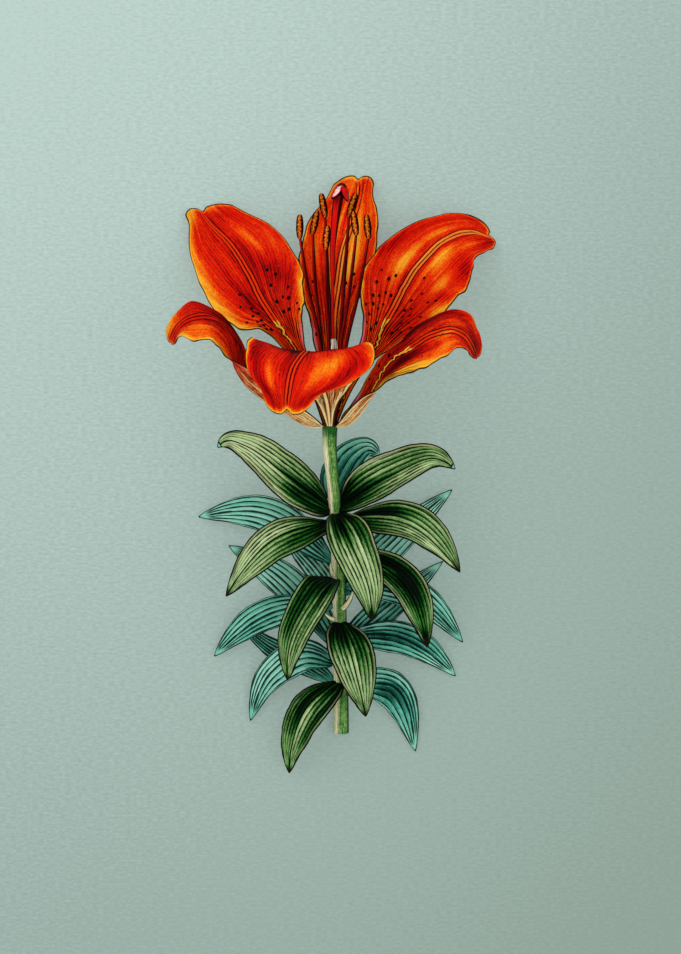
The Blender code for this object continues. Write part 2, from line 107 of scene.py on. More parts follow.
# The rounded rims of the stem, row by row from an end: how far along it and how wide.
STEM_RIM = (0.0, 0.0006, 0.0022, 0.004)
STEM_RIM_WIDTHS = (0.0, 0.55, 0.965, 1.0)

# Torn leaf bases on the stem: the points each passes and its radii from foot to tip.
STUBS = {
    "stub_right": ([(2.2, 47.5, 14.0), (4.4, 50.0, 14.6), (6.6, 54.8, 15.0)], (1.2, 1.1, 0.9, 0.25)),
    "stub_left": ([(-0.6, 43.6, 13.2), (-2.6, 44.6, 13.6), (-4.2, 46.0, 13.6)], (1.1, 0.8, 0.25)),
    "stub_upper": ([(-0.9, 60.2, 16.0), (-1.8, 62.5, 16.7), (-2.1, 65.2, 16.6)], (1.1, 0.9, 0.25)),
}
STUB_GRID = (20, 30)
STUB_BLUNT = 0.12

# The flower's own axis leaves the seat a little upwards.
FLOWER_AXIS = (3.6, 89.0, 21.5)

# The solids' thickness, which keeps a blade off the table and a leaf off the stem.
LEAF_THICKNESS = 0.7
TEPAL_THICKNESS = 0.7

# A leaf's outline: where on its curve it starts, how full it is, and half the width it keeps at its tip.
LEAF_ROOT = 0.02
LEAF_SWELL = 0.8
LEAF_TIP = 0.15
# How far a leaf bends to each side of its midrib in degrees, how much its base leans along the stem, and
# how far along it has turned to its own face.
LEAF_BEND = 24.0
LEAF_CLASP = 0.5
LEAF_TURNED = 0.3

# How deep the foot of a leaf or a tepal is sunk, how far along a leaf that ends, and how near the axis a
# tepal's foot comes, as a share of where its solid stands.
SUNK = 0.6
ROOTED = 0.06
ROOT_SHARE = 0.8

# Half a tepal's width where it is seated, the power by which its cross section rises to its edges, and
# half the width of the notch at its end.
CLAW_HALF_WIDTH = 1.4
CUP = 1.8
NOTCH_WIDTH = 0.15

# How softly the table turns up a blade that presses on it, and the stem a leaf's base that clasps it.
PRESS = 3.0
CLASP = 0.5

# The grid of a leaf has so many rows, and so many columns for each band between two veins. A tepal's has
# its columns and rows. They crowd by a power round its rib, and any blade's rows crowd towards its tip.
LEAF_ROWS = 84
BAND_COLUMNS = 6
TEPAL_GRID = (88, 180)
TEPAL_CROWD = 1.25
TIP_CROWD = 0.1
# The strip along its edge in which a blade thins out, and the share of its thickness that is left there.
LEAF_EDGE = 1.5
TEPAL_EDGE = 2.0
EDGE_SHARE = 0.4
# About how long a tepal is, and up to where its rib is yellow where no yellow is drawn.
TEPAL_LENGTH = 90.0
NO_YELLOW = 0.3

# How finely the stem's middle line is walked to find a place on it, and how far ahead and behind on its
# midrib a leaf's direction is taken.
STEM_SAMPLES = 401
NEARBY = 0.005

# The lobes of a body are how many there are and how deep they cut. Its fullness is near 0 where it is a
# round-ended cylinder and 1 where it is a ball. A crease is how deep its furrows cut besides.
OVARY_LENGTH = 32.5
OVARY_RADIUS = 2.25
OVARY_FULLNESS = 0.7
OVARY_LOBES = (3, 0.1)
OVARY_CREASE = 0.12
OVARY_SUNK = 1.0
OVARY_GRID = (60, 60)
STYLE_LINE = [
    (-1.3, 168.0, 41.8),
    (-1.1, 186.0, 45.6),
    (0.6, 201.0, 49.4),
    (1.2, 204.6, 50.4),
]
STYLE_RADII = [0.65, 0.6, 0.6, 0.65, 0.8, 1.05, 1.35, 1.7, 2.05]
STYLE_SUNK = 1.2
STYLE_GRID = (28, 90)
STYLE_BLUNT = 0.01
STIGMA_RADIUS = 3.5
STIGMA_HEIGHT = 3.5
STIGMA_DROOP = 2.0
STIGMA_FULLNESS = 0.55
STIGMA_SHIFT = (0.7, 0.3, 0.0)
STIGMA_GRID = (72, 40)

# A filament passes two rings round the flower's axis: how far along it, and how far out of it.
FILAMENT_RADII = [0.4 * share for share in (1.4, 1.5, 1.7, 1.8, 1.8, 1.7, 1.3)]
FILAMENT_ROOT = 1.65
FILAMENT_SUNK = 0.5
FILAMENT_RINGS = ((12.0, 3.6), (30.0, 5.0))
FILAMENT_BEND = 0.55
FILAMENT_BOW = 0.4
FILAMENT_GRID = (14, 70)
FILAMENT_BLUNT = 0.006
# How deep a filament's tip is sunk into its anther.
TIP_SUNK = 1.1
ANTHER_LENGTH = 9.3
ANTHER_WIDTH = 2.5
ANTHER_FULLNESS = 0.6
ANTHER_LOBES = (2, 0.12)
ANTHER_CREASE = 0.28
ANTHER_GRAINS = 0.12
ANTHER_RISE = 0.12
ANTHER_GRID = (40, 60)

# Each leaf: where it leaves the stem along Y, the side it leaves on in degrees (0 right, 90 up, 270
# down), how wide it is to the left and to the right of its midrib and how near the tip it is widest
# there, which way its upper side looks, and the points that its midrib passes on the way to its tip.
LEAVES = {
    "leaf_top_left": (
        86.5, 160, (9.4, 0.6), (8.1, 0.86), (0.1, 0.2, 1.0),
        [(-19.8, 99.4, 33), (-33.8, 109.6, 35), (-40.3, 111.8, 33), (-44.9, 109.3, 27)],
    ),
    "leaf_top_right": (
        86.5, 25, (9.4, 0.73), (6.8, 0.67), (-0.1, 0.2, 1.0),
        [(21.2, 98.8, 35), (36.8, 105.0, 35.5), (45.2, 101.1, 27)],
    ),
    "leaf_upper_left": (
        81.0, 158, (9.4, 0.78), (6.5, 0.95), (-0.2, 0.25, 1.0),
        [(-23.2, 74.6, 37), (-41.8, 52.8, 22)],
    ),
    "leaf_upper_front": (
        84.5, 88, (9.1, 0.77), (8.4, 0.89), (0.1, 0.2, 1.0),
        [(5.8, 72.6, 45), (12.2, 56.5, 42), (13.5, 43.9, 33)],
    ),
    "leaf_upper_right": (
        82.0, 22, (9.1, 1.2), (6.8, 0.62), (0.2, 0.25, 1.0),
        [(26.4, 80.2, 36), (47.1, 61.9, 22)],
    ),
    "leaf_middle_right": (
        71.0, 35, (8.0, 1.05), (6.2, 1.1), (0.3, 0.1, 1.0),
        [(24.4, 58.6, 27), (34.8, 33.1, 14)],
    ),
    "leaf_middle_left": (
        59.5, 110, (7.4, 0.95), (8.0, 0.6), (-0.25, 0.1, 1.0),
        [(-6.8, 54.0, 33), (-16.2, 38.2, 31), (-18.5, 20.7, 18)],
    ),
    "leaf_lower_front": (
        43.0, 80, (9.0, 0.87), (8.6, 0.68), (0.1, 0.15, 1.0),
        [(5.2, 32.3, 27), (11.4, 6.8, 12)],
    ),
    "leaf_lowest_left": (
        20.0, 125, (8.9, 0.65), (6.2, 0.9), (-0.3, 0.1, 1.0),
        [(-10.3, 11.4, 17), (-17.1, -6.1, 9), (-17.9, -15.0, 5)],
    ),
    "leaf_top_behind": (
        87.5, 275, (8.6, 0.75), (10.6, 0.72), (0.0, 0.1, -1.0),
        [(4.0, 97.0, 15.5), (8.6, 105.3, 11), (12.8, 108.2, 6), (16.6, 106.0, 2)],
    ),
    "leaf_behind_upper_left": (
        66.0, 205, (7.3, 1.0), (7.8, 0.78), (0.0, -0.1, -1.0),
        [(-27.0, 84.0, 12), (-52.4, 82.8, 2)],
    ),
    "leaf_behind_upper_right": (
        53.0, 300, (7.1, 0.78), (6.4, 0.75), (0.0, 0.0, -1.0),
        [(24.6, 76.4, 8), (44.3, 93.2, 1)],
    ),
    "leaf_behind_short_left": (
        52.0, 245, (5.2, 0.75), (5.2, 0.75), (0.0, 0.0, -1.0),
        [(-8.7, 64.6, 5), (-21.3, 76.0, 0)],
    ),
    "leaf_behind_middle_right": (
        56.5, 0, (6.0, 0.8), (7.1, 0.92), (0.0, 0.0, -1.0),
        [(24.3, 55.1, 15), (48.3, 35.0, 3)],
    ),
    "leaf_behind_middle_left": (
        49.5, 195, (6.7, 1.15), (6.2, 0.75), (0.0, -0.1, -1.0),
        [(-23.2, 46.7, 12), (-46.4, 29.6, 2)],
    ),
    "leaf_behind_lower_right": (
        34.0, 300, (6.0, 0.75), (5.6, 0.7), (0.0, 0.0, -1.0),
        [(20.3, 49.1, 4), (40.9, 65.8, 0)],
    ),
    "leaf_behind_right": (
        37.5, 345, (6.7, 0.66), (6.7, 1.1), (0.0, 0.0, -1.0),
        [(22.4, 37.3, 9), (45.6, 22.0, 1)],
    ),
    "leaf_behind_lower_left": (
        31.0, 235, (7.6, 0.83), (6.6, 1.15), (0.0, 0.0, -1.0),
        [(-9.1, 46.0, 4.5), (-21.3, 59.5, 3), (-41.0, 71.8, 0)],
    ),
    "leaf_behind_left": (
        27.5, 190, (5.7, 0.84), (8.3, 0.62), (0.0, 0.0, -1.0),
        [(-11.8, 31.5, 8.5), (-24.3, 23.9, 6.5), (-32.7, 4.9, 1)],
    ),
    "leaf_behind_lowest_left": (
        19.0, 210, (5.0, 0.75), (4.1, 0.9), (0.0, 0.0, -1.0),
        [(-9.9, 24.7, 3), (-27.0, 34.2, 0), (-37.2, 42.9, -3)],
    ),
    "leaf_behind_lowest_right": (
        18.0, 345, (8.8, 0.9), (6.3, 0.58), (0.0, 0.0, -1.0),
        [(21.1, 18.2, 6), (30.4, -6.8, 0)],
    ),
}

# Each tepal: the side of the flower it leaves on, how far out of the axis its root sits, how far its
# end is rounded at the corners and notched in the middle, and the points that its left edge, its midrib
# and its right edge pass, row by row from above the root to the tip, as seen from its inner face.
TEPALS = {
    "tepal_outer_back": {
        "side": 270, "root": 3.45, "round": 0.05, "notch": 0.012,
        "left": [(-4.3, 129.1, 26.3), (-7.8, 146.3, 21.8), (-10.6, 159.6, 18.5), (-13.5, 173, 15),
                 (-13.5, 185.3, 12), (-10.1, 196, 9.5), (-3.4, 205.3, 6.5), (1.9, 214.6, 3)],
        "middle": [(-1.7, 129.1, 24.3), (-1.5, 145.6, 17.5), (-1.3, 158.6, 12.5), (-0.6, 171.3, 8),
                   (0.8, 184, 4.2), (3.4, 195.9, 1.6), (6.1, 204.7, -0.5), (8.8, 213.2, -2.5)],
        "right": [(0.9, 129.1, 26.3), (3.8, 146.3, 21.8), (5.7, 158.9, 19), (10.3, 170, 16),
                  (15.2, 184.5, 13), (15.8, 198, 9.5), (14.3, 205.7, 6.5), (15.7, 214.2, 3)],
    },
    "tepal_outer_left": {
        "side": 150, "root": 3.45, "round": 0.05, "notch": 0.005,
        "left": [(-7.5, 119.9, 38), (-12.4, 124, 45), (-18.4, 128.9, 51), (-24.4, 133.3, 56),
                 (-29.6, 137, 60), (-34.8, 139.4, 63.5), (-40.4, 142.6, 66.5), (-44.3, 146.4, 69.5),
                 (-47.8, 149.2, 71), (-53, 148.9, 69.5), (-57.6, 150.6, 66), (-60, 147.2, 57)],
        "middle": [(-8.3, 117, 32.5), (-14.4, 119, 36), (-21.1, 123.3, 41), (-29, 128.2, 46),
                   (-34.6, 133.4, 50.5), (-37.7, 139, 55), (-38.8, 144.9, 60), (-41.3, 151.2, 64),
                   (-46.2, 155.6, 66.5), (-52, 157.1, 66.5), (-57.1, 155, 63.5), (-61.9, 148.2, 55)],
        "right": [(-7.2, 118.1, 28.5), (-12.5, 121.9, 29.5), (-18.2, 126.8, 33), (-24.2, 132, 38),
                  (-29, 137.3, 43), (-32.9, 142.8, 48.5), (-34.7, 147.6, 53.5), (-37.7, 153.4, 57.5),
                  (-44.6, 159.9, 60.5), (-53.8, 164.2, 61.5), (-60.6, 158.6, 58.5), (-64.2, 150.3, 53.5)],
    },
    "tepal_outer_right": {
        "side": 30, "root": 3.45, "round": 0.05, "notch": 0.005,
        "left": [(2.4, 121.6, 27.2), (5.4, 125.0, 30.8), (7.9, 128.8, 35.5), (10.4, 133, 39.5),
                 (13.4, 138.4, 44.5), (17.7, 143.8, 49), (24.1, 148.6, 53.5), (31.9, 155.6, 57.5),
                 (41.6, 160.3, 60), (49.9, 159.4, 58.5), (53.3, 153.2, 55), (55.3, 144.7, 50)],
        "middle": [(3.8, 117.5, 32), (8.7, 121.5, 35.5), (12.1, 126.3, 40.5), (14.9, 131.4, 45.5),
                   (18.1, 137.3, 50.5), (22.9, 142.4, 55), (28.9, 147, 59.5), (36, 151.6, 63.5),
                   (42.7, 154.7, 65), (48.2, 153.3, 62.5), (51.4, 148.7, 58), (53.2, 143, 51)],
        "right": [(2.7, 120.7, 37.5), (6, 125.2, 43), (10.6, 128.5, 48.5), (15.4, 131.3, 53),
                  (21, 134.8, 57), (27, 136.8, 61), (33.3, 139.1, 64.5), (39.7, 142.2, 67),
                  (44.9, 146.2, 67.5), (47.9, 145.8, 64.5), (50.3, 144, 59.5), (51.9, 141.6, 53)],
    },
    "tepal_inner_left": {
        "side": 210, "root": 2.7, "round": 0.045, "notch": 0.015,
        "left": [(-8.7, 128, 30), (-15.5, 139.3, 29.5), (-21.6, 148.8, 30), (-28.8, 153.5, 29),
                 (-37.2, 154.4, 25), (-46.7, 161.7, 19.5), (-52, 172.3, 13.5), (-56, 185, 8.5),
                 (-56.5, 194.3, 5.5), (-58.1, 202.4, 3)],
        "middle": [(-6.8, 128.7, 27), (-12.5, 140.9, 25.5), (-17.5, 150.4, 24), (-22.4, 158.4, 21),
                   (-28.2, 166.5, 17), (-32.2, 175, 13), (-36.8, 183.1, 9), (-42.4, 189.5, 5),
                   (-47, 194.4, 1.5), (-51.6, 200.9, -3)],
        "right": [(-5.3, 129.5, 28.5), (-10.2, 142.4, 29.5), (-12.3, 151.4, 29.5), (-12.8, 159.1, 27),
                  (-12.2, 165.6, 24.5), (-12.3, 172.9, 21.5), (-15.2, 181.9, 18), (-22.9, 192.5, 13),
                  (-34, 198.7, 8.5), (-43.6, 205, 4)],
    },
    "tepal_inner_right": {
        "side": 330, "root": 2.7, "round": 0.045, "notch": 0.012,
        "left": [(0.9, 128, 31), (4.4, 137.8, 31), (9.3, 149.2, 30.5), (10, 157.9, 28.5),
                 (9.3, 165.2, 26.5), (9.3, 173.6, 24), (13.5, 182.2, 21.5), (20.9, 189.1, 18.5),
                 (30.8, 195.5, 15), (42.3, 198.3, 10), (58.1, 197, 3)],
        "middle": [(2.7, 127.8, 28.8), (7, 137.1, 27), (14.6, 147.2, 26), (18.2, 155.4, 23.5),
                   (22, 162.1, 20), (26.3, 170.9, 16), (31.6, 179.4, 13), (37.7, 185.9, 10.5),
                   (44.6, 189.6, 7.5), (51.5, 191.4, 3.5), (59.5, 190.4, -3)],
        "right": [(4.3, 127.2, 30.5), (9.8, 137.4, 31.3), (19.7, 146.1, 33), (27.3, 151, 32),
                  (36.4, 157.1, 29), (45.6, 165.2, 25), (50.1, 171.3, 21.5), (52.3, 177.5, 17),
                  (53.1, 181.8, 13), (56.8, 183.6, 8.5), (63, 187.1, 3)],
    },
    "tepal_inner_front": {
        "side": 90, "root": 2.7, "round": 0.04, "notch": 0.025,
        "left": [(0.8, 125.6, 43), (4.9, 131.5, 52), (8.6, 136.7, 60), (11.6, 141.8, 67),
                 (12.2, 147.9, 74), (14.7, 144.6, 78.5), (13.1, 139, 80.5), (4.9, 132.6, 83),
                 (-5.9, 128.5, 85), (-11.1, 120.4, 84)],
        "middle": [(-3.4, 125.6, 42), (-5.2, 131.5, 52), (-7.5, 137.4, 62), (-9.7, 141.8, 70),
                   (-11.7, 144.6, 79), (-14.1, 141.7, 85.5), (-16.2, 137.6, 89.5), (-17.4, 132.5, 91),
                   (-18.1, 127.4, 89.5), (-18.2, 121.4, 86)],
        "right": [(-7.2, 125.6, 43), (-11.3, 131.5, 52.5), (-17.6, 138.1, 62), (-24.6, 144.7, 70),
                  (-30.5, 149.8, 77), (-33.1, 148.3, 82.5), (-33.5, 144.1, 86), (-32.1, 136.9, 87.5),
                  (-27.9, 130, 87), (-25.2, 121.1, 84)],
    },
}

# Each stamen: the side of the ovary its filament leaves on, the middle of its anther, and the anther's
# lean to the right in degrees.
STAMENS = {
    "1": (157, (-13.6, 192.2, 50.0), 0),
    "2": (209, (-8.0, 194.0, 42.0), 12),
    "3": (260, (-4.8, 200.4, 43.5), -10),
    "4": (106, (-3.5, 187.7, 61.0), 5),
    "5": (299, (6.1, 200.6, 44.0), 18),
    "6": (55, (7.1, 193.2, 58.0), -8),
    "7": (12, (11.9, 192.2, 49.0), -5),
}

# The dark spots of a tepal, each at its pixel of the photograph.
SPOTS = {
    "tepal_inner_left": [
        (267.0, 270.5), (276.5, 274.5), (271.5, 285.0), (289.0, 287.0), (283.0, 297.5), (289.0, 298.5),
        (277.0, 301.0), (290.0, 309.0), (284.5, 312.0), (297.0, 303.5), (299.5, 309.5), (239.5, 295.5),
        (240.5, 307.0), (251.5, 309.5), (258.5, 314.5), (253.0, 317.0), (261.5, 321.5), (257.5, 322.5),
        (263.5, 326.0), (270.5, 330.0), (266.5, 330.0), (259.5, 327.0), (247.0, 322.5), (269.0, 323.0),
    ],
    "tepal_inner_right": [
        (395.0, 275.5), (388.0, 279.5), (376.5, 282.0), (381.0, 270.0), (385.0, 292.5), (372.5, 295.0),
        (379.0, 295.5), (391.0, 296.0), (366.0, 304.0), (373.0, 303.5), (383.0, 305.0), (377.0, 309.0),
        (369.0, 314.5), (366.0, 322.5), (369.5, 328.5), (375.5, 323.0), (424.0, 278.0), (422.0, 294.5),
        (412.0, 300.5), (428.0, 303.5), (437.0, 301.5), (411.5, 309.0), (405.0, 310.5), (410.0, 316.5),
        (403.0, 317.5), (420.0, 318.0), (401.5, 324.0), (408.5, 325.0), (411.5, 328.5), (397.5, 331.0),
        (407.0, 335.5), (402.0, 333.0), (392.5, 333.5),
    ],
    "tepal_outer_back": [
        (307.0, 278.5), (312.5, 282.0), (311.0, 296.0), (313.5, 308.0), (316.0, 321.0), (355.0, 274.0),
        (346.0, 284.0), (355.0, 287.0), (349.5, 296.0), (345.0, 297.0), (348.0, 308.0),
    ],
    "tepal_outer_right": [(380.0, 366.0), (370.0, 379.5), (390.0, 355.5)],
}
# Half the width and half the length of a spot of the usual size, in millimetres.
SPOT_WIDTH = 0.55
SPOT_LENGTH = 0.68

# Spots are also strewn over the inner face of each tepal: from where to where along it, and how many.
# They keep clear of its rib and of its edges.
STREWN = {
    "tepal_inner_front": (0.16, 0.56, 34),
    "tepal_outer_left": (0.14, 0.52, 18),
    "tepal_outer_right": (0.12, 0.30, 6),
    "tepal_inner_left": (0.12, 0.30, 9),
    "tepal_inner_right": (0.12, 0.30, 9),
    "tepal_outer_back": (0.12, 0.40, 12),
}
STREWN_CLEAR = 0.14
STREWN_REACH = 0.85
SPOT_SEED = 6

# The double rib of each tepal as the photograph draws it: how strongly its ridges show and up to where
# along the tepal, how golden they are, how many of its pixels are yellow, and the pixels that it passes
# from the claw to the tip.
RIBS = {
    "tepal_outer_back": (
        0.8, 0.72, 1.0, 0,
        [(333, 335), (334, 318), (336, 300), (338, 285), (340, 270), (342, 258), (345, 245), (349, 232),
         (353.5, 218), (357, 206), (359.5, 195), (360, 186), (359, 178)],
    ),
    "tepal_outer_left": (
        0.2, 1.0, 0.0, 0,
        [(245.4, 353.3), (239.4, 342.2), (232.4, 333.2), (222.3, 323.1), (211.2, 317.3), (202.2, 316.6),
         (193.2, 318.1), (186.1, 320.6), (179.6, 326.2), (174, 335.2)],
    ),
    "tepal_outer_right": (
        0.3, 1.0, 0.2, 6,
        [(380.6, 376.8), (385, 369.6), (390.7, 360.9), (398, 355.8), (405.2, 352.9), (411, 347.8),
         (419.7, 342), (430, 335.5), (441, 332), (452, 330.5), (460, 333), (468, 341), (473, 350)],
    ),
    "tepal_inner_left": (
        0.95, 1.0, 0.0, 5,
        [(297, 350), (290, 343), (283, 333), (279, 327), (276, 322), (273, 318), (268, 310), (262, 300),
         (257, 290), (251, 278), (245, 267), (237, 254), (227, 241), (216, 231), (206, 219), (201, 212)],
    ),
    "tepal_inner_right": (
        1.0, 1.0, 0.8, 5,
        [(376, 347), (379, 339), (382, 331), (385, 324), (387, 319.5), (392, 312), (396, 303), (401, 293),
         (407, 283), (412, 274), (419, 265), (427, 256), (435, 248), (444, 241), (453, 236), (462, 233),
         (470, 232.5), (478, 233.5), (487, 236.5)],
    ),
    "tepal_inner_front": (
        0.85, 1.0, 0.0, 0,
        [(307, 352), (298.4, 359.8), (292.8, 369.4), (289.3, 383), (287.5, 399), (286.7, 409.4)],
    ),
}

# How light each tepal is, in painted light and shade: soft strokes at a place across and along it, half
# as wide and half as long as that, each adding its share of gold as painted highlight where it is above 0
# and of deep red as painted shade where it is below.
TEPAL_LIGHT_AND_SHADE = {
    "tepal_outer_back": [
        (0.0, 0.6, 1.2, 0.35, 0.45), (-0.9, 0.85, 0.2, 0.15, 0.2), (0.7, 0.88, 0.45, 0.14, 0.2),
        (-0.5, 0.97, 0.6, 0.05, 0.35),
        (0.42, 0.70, 0.1, 0.12, 0.9), (0.14, 0.6, 0.05, 0.3, 0.9), (0.55, 0.62, 0.06, 0.1, 0.4),
        (-0.12, 0.5, 0.04, 0.25, 0.7), (0.33, 0.5, 0.04, 0.2, 0.6), (0.0, 0.4, 0.05, 0.4, -0.5),
        (-0.4, 0.55, 0.5, 0.2, -0.35), (0.6, 0.45, 0.4, 0.15, -0.35), (-0.15, 0.84, 0.08, 0.09, 0.3),
        (-0.55, 0.72, 0.15, 0.1, 0.2),
    ],
    "tepal_outer_left": [
        (-0.95, 0.75, 0.35, 0.12, 0.6), (-0.9, 0.9, 0.3, 0.06, 0.9), (-0.4, 0.8, 0.25, 0.08, 0.45),
        (0.85, 0.96, 0.4, 0.06, 0.75), (0.6, 0.9, 0.2, 0.05, 0.3), (0.85, 0.68, 0.35, 0.1, -0.9),
        (0.45, 0.7, 0.2, 0.06, -0.45), (0.1, 0.8, 0.12, 0.08, -0.3), (0.9, 0.82, 0.12, 0.05, -0.3),
        (-0.8, 0.62, 0.25, 0.05, 0.35), (0.3, 0.86, 0.15, 0.05, 0.1),
    ],
    "tepal_outer_right": [
        (0.88, 0.45, 0.25, 0.2, 1.3), (0.6, 0.3, 0.5, 0.05, 0.7), (0.3, 0.72, 0.2, 0.06, 0.5),
        (0.75, 0.72, 0.2, 0.07, 0.45), (-0.15, 0.78, 0.15, 0.05, 0.35), (-0.9, 0.66, 0.25, 0.13, -1.0),
        (-0.4, 0.5, 0.2, 0.08, -0.35), (0.3, 0.46, 0.22, 0.12, -0.9), (-0.85, 0.88, 0.25, 0.05, 0.5),
        (0.4, 0.95, 0.5, 0.07, -0.6), (-0.2, 0.93, 0.3, 0.05, -0.3), (0.5, 0.68, 0.1, 0.03, -0.2),
    ],
    "tepal_inner_left": [
        (0.4, 0.81, 0.1, 0.08, 0.55), (0.4, 0.98, 0.35, 0.02, 0.4), (-0.97, 0.82, 0.2, 0.17, 0.75),
        (-0.95, 0.6, 0.17, 0.13, 0.75), (0.95, 0.62, 0.08, 0.12, 0.7), (0.75, 0.8, 0.2, 0.06, 0.25),
        (0.3, 0.66, 0.25, 0.08, -0.35), (-0.35, 0.55, 0.2, 0.1, -0.4), (0.14, 0.76, 0.07, 0.06, -0.3),
        (0.6, 0.66, 0.2, 0.06, -0.3), (0.12, 0.93, 0.06, 0.04, -0.3), (-0.6, 0.5, 0.2, 0.06, 0.15),
        (0.85, 0.4, 0.2, 0.1, 0.2), (-0.5, 0.88, 0.12, 0.06, 0.1), (0.62, 0.88, 0.1, 0.04, 0.25),
        (-0.72, 0.98, 0.3, 0.05, 0.9),
    ],
    "tepal_inner_right": [
        (0.0, 0.7, 1.2, 0.35, 0.15), (-0.34, 0.66, 0.15, 0.07, 0.75), (-0.36, 0.82, 0.14, 0.06, 0.4),
        (0.3, 0.72, 0.12, 0.07, 0.75), (0.62, 0.62, 0.14, 0.05, 0.6), (-0.96, 0.58, 0.07, 0.1, 0.6),
        (0.95, 0.53, 0.15, 0.04, 0.8), (0.85, 0.74, 0.2, 0.05, -0.4), (0.8, 0.57, 0.14, 0.03, -0.35),
        (-0.85, 0.74, 0.2, 0.07, -0.4), (-0.6, 0.62, 0.2, 0.04, -0.15), (0.5, 0.43, 0.5, 0.07, -0.3),
        (0.5, 0.85, 0.15, 0.06, 0.3), (0.7, 0.95, 0.2, 0.04, -0.3), (-0.6, 0.93, 0.25, 0.04, 0.15),
        (0.12, 0.86, 0.05, 0.1, -0.35),
    ],
    "tepal_inner_front": [
        (-0.5, 0.77, 0.15, 0.07, 0.72), (-0.33, 0.84, 0.12, 0.06, 0.3), (0.42, 0.85, 0.1, 0.08, 0.55),
        (0.75, 0.78, 0.15, 0.12, -0.5), (0.1, 0.66, 0.2, 0.035, -1.1), (0.0, 0.645, 0.9, 0.022, -0.7),
        (-0.78, 0.82, 0.14, 0.1, -0.4), (0.12, 0.75, 0.08, 0.12, -0.35), (0.98, 0.75, 0.08, 0.1, 0.9),
        (-0.95, 0.72, 0.07, 0.1, 0.5), (0.0, 0.995, 1.1, 0.022, 0.8), (0.6, 0.92, 0.2, 0.05, -0.35),
        (-0.6, 0.94, 0.2, 0.04, -0.2), (-0.97, 0.9, 0.1, 0.08, 0.6), (-0.4, 0.64, 0.7, 0.02, -0.6),
    ],
}

# How strongly a tepal's veins are drawn where that isn't in full.
VEINED = {"tepal_inner_front": 0.4}

# The flank of a tepal, 1 right or -1 left, that is pink along its edge, and where along it.
PINK_EDGES = {
    "tepal_inner_left": (1, 0.34),
    "tepal_inner_right": (-1, 0.34),
    "tepal_outer_back": (-1, 0.33),
    "tepal_outer_right": (-1, 0.2),
}

# How light a leaf is at places along it, from dark green below 0 to pale above it, the leaf's own greens
# with painted shade near the stem; and then each leaf of the near side in strokes as above, of painted
# light and shade.
LEAF_TONE = [
    (0.0, -1.1), (0.08, -0.8), (0.2, -0.42), (0.35, -0.1), (0.5, 0.15), (0.7, 0.32), (0.9, 0.25),
    (1.0, -0.2),
]
LEAF_LIGHT_AND_SHADE = {
    "leaf_top_left": [
        (0.0, 0.65, 1.2, 0.35, 0.35), (0.06, 0.4, 0.1, 0.3, -0.7), (0.6, 0.25, 0.3, 0.12, 0.25),
        (-0.4, 0.28, 0.3, 0.14, -0.6), (0.0, 0.75, 1.0, 0.25, 0.35), (-0.9, 0.35, 0.12, 0.2, 1.0),
    ],
    "leaf_top_right": [
        (-0.35, 0.68, 0.2, 0.08, -0.4), (-0.3, 0.38, 0.2, 0.08, 0.3), (0.5, 0.5, 0.4, 0.2, 0.4),
        (-0.9, 0.3, 0.15, 0.3, 0.9), (-0.95, 0.68, 0.12, 0.08, -1.2),
    ],
    "leaf_upper_left": [
        (0.5, 0.5, 0.35, 0.3, 0.5), (-0.5, 0.35, 0.3, 0.15, -0.15), (0.0, 0.4, 0.07, 0.3, -0.7),
        (0.0, 0.7, 1.0, 0.3, 0.2),
    ],
    "leaf_upper_front": [
        (0.75, 0.2, 0.2, 0.12, 0.4), (-0.3, 0.2, 0.2, 0.12, 0.4), (0.25, 0.25, 0.25, 0.12, -0.5),
        (0.0, 0.6, 0.7, 0.2, 0.4), (-0.9, 0.8, 0.15, 0.15, -0.8), (0.0, 0.97, 1.0, 0.06, -1.0),
    ],
    "leaf_upper_right": [(-0.45, 0.35, 0.3, 0.15, -0.9), (0.3, 0.7, 0.4, 0.25, 0.3)],
    "leaf_middle_right": [
        (-0.25, 0.5, 0.4, 0.22, -1.0), (-0.1, 0.38, 0.15, 0.08, 0.7), (0.0, 0.95, 1.0, 0.08, -1.2),
        (0.0, 0.6, 1.0, 0.4, -0.3), (0.7, 0.35, 0.2, 0.2, 0.5),
    ],
    "leaf_middle_left": [
        (0.4, 0.4, 0.25, 0.25, -0.7), (0.05, 0.42, 0.08, 0.2, 0.5), (-0.75, 0.4, 0.15, 0.25, 0.35),
        (0.0, 0.6, 1.0, 0.4, -0.2),
    ],
    "leaf_lower_front": [
        (-0.3, 0.42, 0.15, 0.12, -0.25), (0.0, 0.55, 0.2, 0.25, 0.3), (0.5, 0.6, 0.4, 0.3, 0.25),
        (-0.1, 0.25, 0.5, 0.12, -0.3),
    ],
    "leaf_lowest_left": [
        (-0.1, 0.35, 0.15, 0.3, 0.6), (0.25, 0.35, 0.25, 0.25, -0.9), (-0.85, 0.45, 0.15, 0.3, -0.6),
        (0.0, 0.6, 1.0, 0.4, -0.35),
    ],
}

# The leaves whose very tips curl over and show their blue-green underside.
CURLED = {"leaf_top_left", "leaf_top_right"}

# How strong the pale border of each near leaf is along its left and its right edge.
LEAF_BORDERS = {
    "leaf_top_left": (0.6, 0.3),
    "leaf_top_right": (0.7, 0.2),
    "leaf_upper_left": (0.2, 0.5),
    "leaf_upper_front": (0.6, 0.2),
    "leaf_upper_right": (0.5, 0.3),
    "leaf_middle_right": (0.6, 0.5),
    "leaf_middle_left": (0.2, 0.2),
    "leaf_lower_front": (0.4, 0.5),
    "leaf_lowest_left": (0.3, 0.1),
}

